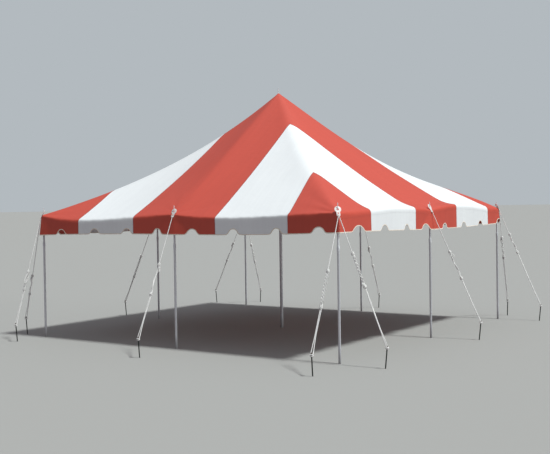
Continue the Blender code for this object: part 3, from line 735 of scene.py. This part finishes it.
def hem_height(side, along):
    # Height of the hem's cut edge.
    inner = np.clip(along, -HALF, HALF)
    ends = [SLACK_CORNER_DROP * (side == slack_side) for slack_side in (0, 3)]
    drop = np.interp(inner, (-HALF, 0.0, HALF), (ends[0], MIDDLE_DROP, ends[1]))
    sag = np.where(inner < 0, *HEM_SAGS[side]) * bay_wave(np.abs(inner) / HALF)
    rise = sum(notch_rise(along - centre, width) for centre, width in NOTCHES[SIDES[side]])
    return EAVE - EAVE_ROLL - VALANCE_DROP - drop - sag + rise


def on_side(side, along, z, out):
    # A point on the upright edge of one side: along it, at a height, and out of its plane.
    drop = np.interp(along, *eave_lines[side]) - z
    out = out + hanging(along, drop)
    x, y = at_corner(along + outward(along) * out, np.full_like(along, -WALL) - out, drop)
    turn = pi / 2 * side
    return np.array([x * cos(turn) - y * sin(turn), x * sin(turn) + y * cos(turn), z])


def side_columns(side):
    # Places of the valance's columns along one side: the seams, the corners, and close together in a notch.
    fixed = [*EAVE_SEAMS[SIDES[side]], -WALL]
    fixed += [hand * (WALL - inset) for inset in CORNER_INSETS for hand in (-1, 1)]
    places = list(np.linspace(-HALF, HALF, EVEN_COLUMNS + 1)[1:-1])
    for centre, width in NOTCHES[SIDES[side]]:
        places = [p for p in places if abs(p - centre) > width / 2 + 0.02]
        places += list(centre + width * np.linspace(-0.5, 0.5, NOTCH_COLUMNS))
    places = [p for p in places if abs(p) < WALL - 0.003 and min(abs(p - q) for q in fixed) > 0.004]
    return np.array(sorted(fixed + places))


points = []
cut_places = []
columns = []
for side in range(4):
    along = side_columns(side)
    top = np.interp(along, *eave_lines[side]) - LAP + LAP_UNDER
    hem = hem_height(side, along)
    grid = [on_side(side, along, top + (hem - top) * row / VALANCE_ROWS, -BEHIND)
            for row in range(VALANCE_ROWS + 1)]
    cut_along = np.interp(along, (-WALL, *EAVE_SEAMS[SIDES[side]], WALL),
                          (-WALL, -SEAMS[1], -SEAMS[0], SEAMS[0], SEAMS[1], WALL))
    for k in range(len(along)):
        columns.append((side, along[k]))
        points += [tuple(row[:, k]) for row in grid]
        x, y = cut_along[k], -WALL
        cut_places += [[(x, y), (-y, x), (-x, -y), (y, -x)][side]] * len(grid)
faces = []
reds = []
rows_each = VALANCE_ROWS + 1
for k, (side, along) in enumerate(columns):
    n = (k + 1) % len(columns)
    ahead = columns[n][1] if columns[n][0] == side else WALL
    seams_passed = np.searchsorted(EAVE_SEAMS[SIDES[side]], (along + ahead) / 2)
    for row in range(VALANCE_ROWS):
        a, b = k * rows_each + row, n * rows_each + row
        faces.append((a, a + 1, b + 1, b))
        reds.append(seams_passed % 2 == 0)
valance = place("valance", cloth_mesh("valance", points, cut_places, faces, reds), "canopy_white",
                *["valance_" + side for side in SIDES])

# Hem binding: a cream tape folded over the valance's edge, sewn through with one row of white thread.
TAPE_WIDTH = 0.013
TAPE_THICKNESS = 0.0008
TAPE_ROUND = 0.0008         # of its fold at the edge
STITCH_LENGTH = 0.006
STITCH_PITCH = 0.010        # about twice the real spacing, so that single stitches can be told apart
STITCH_WIDTH = 0.0014
STITCH_PROUD = 0.0003       # its middle above the tape
STITCH_INSET = 0.55         # of the tape's width
TAPE_COLOUR = "#FFF8E8"
TAPE_SHADE_COLOUR = "#F0E6CC"
THREAD_COLOUR = "#FFFCF4"
THREAD_SHADE_COLOUR = "#D9D6CA"


def woven_tape():
    # Woven polyester braid: matt, with a fine rib across its width.
    material, tree, shader = new_material("woven_polyester_binding")
    coords = add_node(tree, "ShaderNodeTexCoord").outputs["Object"]
    tone = add_node(tree, "ShaderNodeTexNoise", {"Vector": coords, "Scale": 30.0, "Detail": 4.0})
    mixed = add_node(tree, "ShaderNodeMix", {0: tone, 6: TAPE_COLOUR, 7: TAPE_SHADE_COLOUR},
                     data_type="RGBA")
    rib = add_node(tree, "ShaderNodeTexVoronoi", {"Vector": coords, "Scale": 900.0})
    relief = add_node(tree, "ShaderNodeBump", {"Height": rib.outputs["Distance"], "Strength": 0.3,
                                               "Distance": 0.0004})
    fill(shader, {"Base Color": mixed.outputs[2], "Normal": relief, "Roughness": 0.85, "Sheen Weight": 0.6})
    return material


def polyester_thread():
    # Bonded polyester thread, a little glossier than the tape it holds.
    material, tree, shader = new_material("bonded_polyester_thread")
    coords = add_node(tree, "ShaderNodeTexCoord").outputs["Object"]
    tone = add_node(tree, "ShaderNodeTexNoise", {"Vector": coords, "Scale": 60.0})
    mixed = add_node(tree, "ShaderNodeMix", {0: tone, 6: THREAD_COLOUR, 7: THREAD_SHADE_COLOUR},
                     data_type="RGBA")
    fill(shader, {"Base Color": mixed.outputs[2], "Roughness": 0.5})
    return material


def hem_line(inset, out):
    # Points round the whole hem, set into the cloth at right angles to the hem and out of its face.
    found = []
    step = 0.002
    for side in range(4):
        along = side_columns(side)
        rise = (hem_height(side, along + step) - hem_height(side, along - step)) / (2 * step)
        length = np.sqrt(1 + rise ** 2)
        inner = np.abs(along) < HALF
        found.append(on_side(side, along - np.where(inner, rise / length, 0.0) * inset,
                             hem_height(side, along) + inset / length, out).T)
    return np.concatenate(found)


face = -BEHIND + TAPE_THICKNESS
rear = -BEHIND - CLOTH - TAPE_THICKNESS
section = [(TAPE_WIDTH, face), (TAPE_ROUND, face), (-TAPE_ROUND, -BEHIND), (-TAPE_ROUND, -BEHIND - CLOTH),
           (TAPE_ROUND, rear), (TAPE_WIDTH, rear)]
bm = bmesh.new()
loft(bm, [hem_line(inset, out) for inset, out in section], closed=True)
binding = place_form("hem_binding", bm, woven_tape(), "canopy_white", sharp=60)


def new_tree(name, **inputs):
    # A Geometry Nodes tree that takes a path and named inputs: the tree, the path as a curve, the inputs and
    # their identifiers.
    tree = bpy.data.node_groups.new(name, "GeometryNodeTree")
    for way in ("OUTPUT", "INPUT"):
        tree.interface.new_socket("Geometry", in_out=way, socket_type="NodeSocketGeometry")
    keys = {}
    for label, kind in inputs.items():
        socket = tree.interface.new_socket(label, in_out="INPUT", socket_type="NodeSocket" + kind)
        keys[label] = socket.identifier
    given = add_node(tree, "NodeGroupInput").outputs
    curve = add_node(tree, "GeometryNodeMeshToCurve", {"Mesh": given["Geometry"]})
    return tree, curve, given, keys


def end_tree(tree, geometry, material):
    # The last nodes of a tree: real geometry, smooth and of one material.
    real = add_node(tree, "GeometryNodeRealizeInstances", {"Geometry": geometry})
    smoothed = add_node(tree, "GeometryNodeSetShadeSmooth", {"Geometry": real})
    done = add_node(tree, "GeometryNodeSetMaterial", {"Geometry": smoothed, "Material": material})
    add_node(tree, "NodeGroupOutput", {"Geometry": done})


def through_tree(name, path, tree, keys, closed=False, **values):
    # The plain mesh that a tree makes of a path and its named inputs.
    line = bpy.data.meshes.new(name + "_path")
    count = len(path)
    edges = [(i, (i + 1) % count) for i in range(count - 1 + closed)]
    line.from_pydata([tuple(map(float, p)) for p in path], edges, [])
    carrier = new_object(name + "_path", line)
    modifier = carrier.modifiers.new(tree.name, "NODES")
    modifier.node_group = tree
    for label, value in values.items():
        modifier[keys[label]] = value
    return plain_mesh(carrier, name)


def stitch_tree():
    # A small bead at each stitch, turned along the path.
    tree, curve, given, keys = new_tree("stitches", Pitch="Float", Length="Float", Width="Float",
                                        Thread="Material")
    spots = add_node(tree, "GeometryNodeCurveToPoints", {"Curve": curve, "Length": given["Pitch"]},
                     mode="LENGTH").outputs
    bead = add_node(tree, "GeometryNodeMeshIcoSphere", {"Radius": 0.5, "Subdivisions": 1})
    size = add_node(tree, "ShaderNodeCombineXYZ", {0: given["Width"], 1: given["Width"], 2: given["Length"]})
    sewn = add_node(tree, "GeometryNodeInstanceOnPoints", {
        "Points": spots["Points"], "Instance": bead, "Rotation": spots["Rotation"], "Scale": size})
    end_tree(tree, sewn, given["Thread"])
    return tree, keys


seam_line = hem_line(TAPE_WIDTH * STITCH_INSET, face + STITCH_PROUD)
stitch_mesh = through_tree("hem_stitches", seam_line, *stitch_tree(), closed=True, Pitch=STITCH_PITCH,
                           Length=STITCH_LENGTH, Width=STITCH_WIDTH, Thread=polyester_thread())
sewing = place("hem_stitches", stitch_mesh, "canopy_white")

# Keyhole tabs: a stiff white moulded plate over each side pole's pin, round at the head and narrow at the
# tail. A steel grommet under it, not drawn here, keeps the pin from tearing the cloth. The guy ropes are tied
# to the tail.
TAB_TILT = radians(62)
TAB_HEAD_RADIUS = 0.050
TAB_TAIL_WIDTH = 0.056
TAB_LENGTH = 0.108
TAB_THICKNESS = 0.004
TAB_BEVEL = 0.0012
TAB_EYE_RADIUS = 0.0165
ROPE_EYE_RADIUS = 0.0105
ROPE_EYE_AT = 0.080
RIM_WIDTH = 0.002           # half the raised rim's width
RIM_HEIGHT = 0.0016
TAB_COLOUR = "#ECEBE6"
GRIME_COLOUR = "#B9B5AA"


def moulded_plastic():
    # Injection-moulded nylon: white, satin, a little grimy in patches.
    material, tree, shader = new_material("white_moulded_nylon")
    coords = add_node(tree, "ShaderNodeTexCoord").outputs["Object"]
    grime = add_node(tree, "ShaderNodeTexNoise", {"Vector": coords, "Scale": 45.0, "Detail": 6.0})
    amount = add_node(tree, "ShaderNodeMapRange", {"Value": grime, "From Min": 0.45, "From Max": 0.75,
                                                   "To Max": 0.35})
    mixed = add_node(tree, "ShaderNodeMix", {0: amount, 6: TAB_COLOUR, 7: GRIME_COLOUR}, data_type="RGBA")
    relief = add_node(tree, "ShaderNodeBump", {"Height": grime, "Strength": 0.15, "Distance": 0.0005})
    fill(shader, {"Base Color": mixed.outputs[2], "Normal": relief, "Roughness": 0.45})
    return material


def tab_frame(pole):
    # Middle of the head, the direction down the tab, its width and its outer face, from the tab's solid.
    x, y = POLES[pole]
    away = Vector((x, y, 0.0)).normalized()
    down = away * cos(TAB_TILT) - UP * sin(TAB_TILT)
    outer = away * sin(TAB_TILT) + UP * cos(TAB_TILT)
    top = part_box("tab_" + pole)[1].z
    middle = Vector((x * HALF, y * HALF, top - TAB_HEAD_RADIUS * sin(TAB_TILT)
                     - TAB_THICKNESS / 2 * cos(TAB_TILT)))
    return middle, down, down.cross(outer), outer


def arc(cx, cy, radius, start, end, count):
    # Points on part of a circle.
    return [(cx + radius * cos(start + (end - start) * i / count),
             cy + radius * sin(start + (end - start) * i / count)) for i in range(count + 1)]


def tab_outline():
    # Head, then the waist where the tail runs into it, then the rounded end of the tail.
    half = TAB_TAIL_WIDTH / 2
    join = asin(half / TAB_HEAD_RADIUS)
    end = half * 0.55
    return (arc(0, 0, TAB_HEAD_RADIUS, join, 2 * pi - join, 48)
            + arc(TAB_LENGTH - end, -half + end, end, -pi / 2, 0, 8)
            + arc(TAB_LENGTH - end, half - end, end, 0, pi / 2, 8))


def plate(outline, holes):
    # A flat plate with round holes and softened edges, lying in the XY plane.
    curve = bpy.data.curves.new("tab", "CURVE")
    curve.dimensions = "2D"
    curve.fill_mode = "BOTH"
    curve.extrude = TAB_THICKNESS / 2 - TAB_BEVEL
    curve.bevel_depth = TAB_BEVEL
    curve.bevel_resolution = 2
    curve.offset = -TAB_BEVEL
    for loop in [outline] + [arc(at, 0, radius, 0, 2 * pi, 28)[:-1] for at, radius in holes]:
        spline = curve.splines.new("POLY")
        spline.points.add(len(loop) - 1)
        for point, (x, y) in zip(spline.points, loop):
            point.co = (x, y, 0.0, 1.0)
        spline.use_cyclic_u = True
    bm = bmesh.new()
    bm.from_mesh(plain_mesh(new_object("tab", curve), "tab"))
    bmesh.ops.remove_doubles(bm, verts=bm.verts, dist=1e-5)
    return bm


nylon = moulded_plastic()
for pole in POLES:
    middle, down, width, outer = tab_frame(pole)
    bm = plate(tab_outline(), [(0.0, TAB_EYE_RADIUS), (ROPE_EYE_AT, ROPE_EYE_RADIUS)])
    # A raised rim round the pin's eye and one round the rope's.
    for at, radius in ((0.0, TAB_EYE_RADIUS + 0.0025), (ROPE_EYE_AT, ROPE_EYE_RADIUS + 0.002)):
        centre = Vector((at, 0.0, TAB_THICKNESS / 2))
        loft(bm, [[centre + Vector((cos(a), sin(a), 0.0)) * (radius + RIM_WIDTH * cos(b))
                   + UP * RIM_HEIGHT * sin(b) for b in round_of(8)] for a in round_of(36)], closed=True)
    bm.transform(Matrix.Translation(middle) @ Matrix((down, width, outer)).transposed().to_4x4())
    place_form("keyhole_tab_" + pole, bm, nylon, "tab_white", "tab_" + pole, sharp=35)

# Ground stakes: forged steel rods in dark green paint, driven at a slant away from the tent. Hammering has
# spread their heads and knocked the paint off.

# Each guy rope is named for its pole, and at a corner also for the side that it leads to. Its values are the
# shares of its length down to its upper and its lower knot, whether it comes back down between them, and the
# length of the bight left standing out at the upper knot, below zero where it stands out upwards.
GUYS = {
    "front_left_front": (0.51, 0.67, True, -0.22), "front_middle": (0.40, 0.64, False, 0.10),
    "front_right_front": (0.41, 0.67, True, 0.0), "front_right_right": (0.29, 0.54, True, 0.05),
    "right_middle": (0.36, 0.60, False, -0.10), "back_right_right": (0.25, 0.44, False, 0.0),
    "back_right_back": (0.29, 0.51, True, 0.06), "back_middle": (0.42, 0.64, False, 0.08),
    "back_left_back": (0.40, 0.62, True, 0.0), "back_left_left": (0.38, 0.60, False, 0.10),
    "left_middle": (0.46, 0.70, True, 0.0), "front_left_left": (0.57, 0.75, False, 0.09),
}
STAKE_RADIUS = 0.009
LOOP_BELOW_TOP = 0.035
STAKE_COLOUR = "#222B24"
BARE_STEEL_COLOUR = "#77746F"
RUST_COLOUR = "#5A3B28"
HEAD_LOW = 0.285            # between these heights the paint gives way to bare steel
HEAD_HIGH = 0.318
# The hammered head: (distance below the top, share of the rod's radius).
HEAD_SPREAD = ((0.012, 1.0), (0.008, 1.04), (0.004, 1.16), (0.0015, 1.14), (0.0003, 0.9))


def painted_steel():
    # Brushed-on enamel over forged steel, chipped to bare metal and brown rust at the head.
    material, tree, shader = new_material("dark_enamel_on_forged_steel")
    coords = add_node(tree, "ShaderNodeTexCoord").outputs["Object"]
    chips = add_node(tree, "ShaderNodeTexNoise", {"Vector": coords, "Scale": 120.0, "Detail": 6.0})
    height = add_node(tree, "ShaderNodeSeparateXYZ", {"Vector": coords}).outputs["Z"]
    head = add_node(tree, "ShaderNodeMapRange", {"Value": height, "From Min": HEAD_LOW, "From Max": HEAD_HIGH,
                                                 "To Min": -0.15, "To Max": 0.45})
    total = add_node(tree, "ShaderNodeMath", {0: chips, 1: head}, operation="ADD")
    bare = add_node(tree, "ShaderNodeMapRange", {"Value": total, "From Min": 0.66, "From Max": 0.70})
    rusty = add_node(tree, "ShaderNodeMix", {0: chips, 6: BARE_STEEL_COLOUR, 7: RUST_COLOUR},
                     data_type="RGBA")
    mixed = add_node(tree, "ShaderNodeMix", {0: bare, 6: STAKE_COLOUR, 7: rusty.outputs[2]},
                     data_type="RGBA")
    relief = add_node(tree, "ShaderNodeBump", {"Height": chips, "Strength": 0.4, "Distance": 0.0006})
    fill(shader, {"Base Color": mixed.outputs[2], "Roughness": 0.48, "Normal": relief})
    return material


def stake_line(guy):
    # Foot and top of the stake's axis, read off its solid.
    co = np.array([v.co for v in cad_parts["stake_" + guy].data.vertices])
    foot = co[co[:, 2] < co[:, 2].min() + 0.0002]
    top = co[co[:, 2] > co[:, 2].max() - 0.0018]
    return Vector((foot.min(0) + foot.max(0)) / 2), Vector((top.min(0) + top.max(0)) / 2)


enamel = painted_steel()
for guy in GUYS:
    foot, top = stake_line(guy)
    direction = (top - foot).normalized()
    length = (top - foot).length
    head = [(length - below, STAKE_RADIUS * spread) for below, spread in HEAD_SPREAD]
    bm = turned([(0.0, STAKE_RADIUS), *head], foot, direction, 24)
    for vertex in bm.verts:
        if (vertex.co - foot).dot(direction) < 0.004:
            # The part above ground is cut level with it.
            vertex.co -= direction * (vertex.co.z / direction.z)
    place_form("ground_stake_" + guy, bm, enamel, "stake_paint", "stake_" + guy)

# Guy ropes: white three-strand polyester, 12 mm thick, each cut in one length. A rope is stopped behind the
# tab's lower eye, goes twice and a half round its stake and comes back up beside itself. There it is hitched
# round the standing part, wound up along it and hitched again. Some come back down once more.
ROPE_RADIUS = 0.0062
STRAND_RADIUS = 0.0036
STRAND_OFFSET = 0.0030      # of a strand's middle from the rope's
STRAND_STEP = 0.0055
LAY = 0.034                 # length of one turn of the strands
COIL_RADIUS = 0.0127        # of a turn round the standing part, middle to middle
SECOND_COIL_RADIUS = 0.0190
ROPE_GAP = 0.0004           # between two ropes that share an eye
STAKE_TURNS = 2.5
LAST_TURN_OUT = 0.007       # how much wider the last turn round the stake is than the first
STAKE_TURN_RISE = 0.011     # how far up and down the stake the turns wander
THROAT = 0.28               # the two parts of the rope spread over this last stretch before the stake
KNOT_TURNS = 4
KNOT_SWELL = 1.6            # of a knot's outer turns over its inner ones
STOPPER_RADIUS = 0.0072
SLACK = 0.006               # sag of the standing part
COIL_PITCH = 0.11           # of the winding between the knots of a doubled rope
LONG_PITCH = 0.34           # and of a single one
PATH_STEP = 0.004
ROPE_COLOUR = "#FAFFFA"
ROPE_SOIL_COLOUR = "#DADFD6"


def polyester_rope():
    # Spun polyester: matt white fibres, grey in patches with handling.
    material, tree, shader = new_material("three_strand_polyester_rope")
    coords = add_node(tree, "ShaderNodeTexCoord").outputs["Object"]
    fibres = add_node(tree, "ShaderNodeTexNoise", {"Vector": coords, "Scale": 420.0, "Detail": 3.0})
    handled = add_node(tree, "ShaderNodeTexNoise", {"Vector": coords, "Scale": 6.0, "Detail": 3.0})
    soil = add_node(tree, "ShaderNodeMath", {0: fibres, 1: handled}, operation="MULTIPLY")
    mixed = add_node(tree, "ShaderNodeMix", {0: soil, 6: ROPE_COLOUR, 7: ROPE_SOIL_COLOUR},
                     data_type="RGBA")
    relief = add_node(tree, "ShaderNodeBump", {"Height": fibres, "Strength": 0.5, "Distance": 0.0006})
    fill(shader, {"Base Color": mixed.outputs[2], "Normal": relief, "Roughness": 0.85, "Sheen Weight": 0.6,
                  "Subsurface Weight": 0.5, "Subsurface Radius": (1.0, 1.0, 1.0), "Subsurface Scale": 0.004})
    return material


def rope_tree():
    # Three strands laid round a path.
    tree, curve, given, keys = new_tree("laid_rope", Offset="Float", Radius="Float", Lay="Float",
                                        Step="Float", Fibre="Material")
    even = add_node(tree, "GeometryNodeResampleCurve", {"Curve": curve, "Length": given["Step"]},
                    mode="LENGTH")
    three = add_node(tree, "GeometryNodeDuplicateElements", {"Geometry": even, "Amount": 3},
                     domain="SPLINE").outputs
    gone = add_node(tree, "GeometryNodeSplineParameter").outputs["Length"]
    laid = add_node(tree, "ShaderNodeMath", {0: gone, 1: given["Lay"]}, operation="DIVIDE")
    start = add_node(tree, "ShaderNodeMath", {0: three["Duplicate Index"], 1: 3.0}, operation="DIVIDE")
    turns = add_node(tree, "ShaderNodeMath", {0: laid, 1: start}, operation="ADD")
    angle = add_node(tree, "ShaderNodeMath", {0: turns, 1: 2 * pi}, operation="MULTIPLY")
    ahead = add_node(tree, "ShaderNodeMath", {0: angle}, operation="COSINE")
    beside = add_node(tree, "ShaderNodeMath", {0: angle}, operation="SINE")
    normal = add_node(tree, "GeometryNodeInputNormal")
    tangent = add_node(tree, "GeometryNodeInputTangent")
    aside = add_node(tree, "ShaderNodeVectorMath", {0: tangent, 1: normal}, operation="CROSS_PRODUCT")
    first = add_node(tree, "ShaderNodeVectorMath", {0: normal, 3: ahead}, operation="SCALE")
    second = add_node(tree, "ShaderNodeVectorMath", {0: aside, 3: beside}, operation="SCALE")
    both = add_node(tree, "ShaderNodeVectorMath", {0: first, 1: second}, operation="ADD")
    shift = add_node(tree, "ShaderNodeVectorMath", {0: both, 3: given["Offset"]}, operation="SCALE")
    moved = add_node(tree, "GeometryNodeSetPosition", {"Geometry": three["Geometry"], "Offset": shift})
    section = add_node(tree, "GeometryNodeCurvePrimitiveCircle", {"Resolution": 6, "Radius": given["Radius"]})
    strands = add_node(tree, "GeometryNodeCurveToMesh", {"Curve": moved, "Profile Curve": section,
                                                         "Fill Caps": True})
    end_tree(tree, strands, given["Fibre"])
    return tree, keys


def shares(count):
    # Even shares from the first step to the whole.
    return [i / count for i in range(1, count + 1)]


def winding(origin, direction, aside, start, end, radius, turns, phase):
    # Points of a helix round an axis, from one distance along it to another, and the phase that it ends at.
    other = direction.cross(aside)
    whole = 2 * pi * turns
    found = [origin + direction * (start + (end - start) * t)
             + (aside * cos(phase + whole * t) + other * sin(phase + whole * t)) * radius
             for t in [0.0, *shares(max(4, int(abs(turns) * 18), int(abs(end - start) / 0.012)))]]
    return found, phase + whole


def eased(path, step, passes):
    # The path again at an even step, with its corners eased.
    co = np.array(path)
    for _ in range(passes):
        gone = np.concatenate([[0], np.cumsum(np.linalg.norm(np.diff(co, axis=0), axis=1))])
        at = np.linspace(0, gone[-1], int(gone[-1] / step) + 1)
        co = np.stack([np.interp(at, gone, co[:, k]) for k in range(3)], axis=1)
        co[1:-1] = (co[:-2] + 2 * co[1:-1] + co[2:]) / 4
    return co


def hitch(origin, direction, aside, at, phase):
    # A knot round the standing part: turns up along it, then fuller ones over them.
    half = KNOT_TURNS * ROPE_RADIUS
    inner, phase = winding(origin, direction, aside, at + half, at - half, COIL_RADIUS, KNOT_TURNS, phase)
    over, phase = winding(origin, direction, aside, at - half * 0.8, at + half * 0.8,
                          KNOT_SWELL * COIL_RADIUS, KNOT_TURNS, phase)
    return inner + over, phase


def bight(start, direction, side, length):
    # A loose loop from a knot and back to it, standing out on one side of the rope.
    breadth = min(0.20 * length, 0.032)
    return [start + direction * length * 0.45 * (1 - cos(turn))
            + side * breadth * (sin(turn) + 0.7 * (1 - cos(turn))) for turn in round_of(20)[1:]]


def rope_path(guy):
    # The route of one rope, as the section's opening says.
    pole = guy if guy in POLES else guy.rsplit("_", 1)[0]
    upper, lower, doubled, loop = GUYS[guy]
    middle, down, width, outer = tab_frame(pole)
    foot, top = stake_line(guy)
    stake = (top - foot).normalized()
    hold = top - stake * LOOP_BELOW_TOP
    tail_end = middle + down * (TAB_LENGTH + ROPE_RADIUS)
    share = Vector((0.0, 0.0, 0.0))
    if guy != pole:
        # Two ropes share a corner's eye.
        share = width * copysign(ROPE_RADIUS + ROPE_GAP, (hold - tail_end).dot(width))
    start = tail_end + share
    eye = middle + down * ROPE_EYE_AT + share * 0.8
    direction = (hold - start).normalized()
    aside = direction.cross(stake).normalized()
    length = (hold - start).length
    # A stopper knot behind the tab, then out through its eye and down over its tail.
    stopper, phase = winding(eye, -outer, width, 0.024, 0.009, STOPPER_RADIUS, 2, 0.0)
    path = [eye - outer * 0.016 + down * 0.022, *stopper,
            *[eye + outer * out + down * along
              for out, along in ((-0.006, 0.0), (0.001, 0.0), (0.007, 0.004), (0.0085, 0.016))],
            start + outer * 0.004, start + direction * 0.02]
    # The standing part, which sags a little of its own weight.
    throat = hold - direction * THROAT
    first_point = path[-1]
    run = throat + aside * ROPE_RADIUS - first_point
    path += [first_point + run * t - UP * SLACK * bay_wave(t) for t in shares(40)]
    # Round the stake, the last turn over the first.
    facing = (hold - start) - stake * (hold - start).dot(stake)
    facing.normalize()
    whole = 2 * pi * STAKE_TURNS
    for t in [0.0, *shares(45)]:
        radius = STAKE_RADIUS + ROPE_RADIUS + LAST_TURN_OUT * float(smooth((t - 0.35) / 0.3))
        path.append(hold + (aside * cos(whole * t) + facing * sin(whole * t)) * radius
                    + stake * STAKE_TURN_RISE * cos(2 * pi * t))
    # Back up beside the standing part to the lower hitch, then wound up along it to the upper one.
    low = length * lower
    high = length * upper
    knot = KNOT_TURNS * ROPE_RADIUS
    wound = (low - 2 * knot, high + 1.5 * knot)
    hitched, phase = hitch(start, direction, aside, low, pi)
    last_point = path[-1]
    joined = throat - aside * ROPE_RADIUS
    path += [last_point + (joined - last_point) * i / 6 for i in range(1, 6)]
    path += [joined + (hitched[0] - joined) * i / 24 for i in range(24)]
    path += hitched
    turns = max(1, round((low - high) / (COIL_PITCH if doubled else LONG_PITCH)))
    rising, phase = winding(start, direction, aside, *wound, COIL_RADIUS, turns, phase)
    hitched, phase = hitch(start, direction, aside, high, phase)
    path += rising + hitched
    below = -(UP - direction * UP.dot(direction)).normalized()
    if loop:
        path += bight(path[-1], direction, below * copysign(1.0, loop), abs(loop))
    if doubled:
        path += winding(start, direction, aside, *wound[::-1], SECOND_COIL_RADIUS, -turns, phase + pi)[0]
    # A short tail.
    end = path[-1]
    path += [end + direction * 0.030 * t + below * 0.022 * t + aside * 0.012 * sin(3 * t) for t in shares(6)]
    return eased(path, PATH_STEP, 3)


fibre = polyester_rope()
rope, rope_keys = rope_tree()
for guy in GUYS:
    rope_mesh = through_tree("guy_rope_" + guy, rope_path(guy), rope, rope_keys, Offset=STRAND_OFFSET,
                             Radius=STRAND_RADIUS, Lay=LAY, Step=STRAND_STEP, Fibre=fibre)
    place("guy_rope_" + guy, rope_mesh, "rope_white", "rope_" + guy)
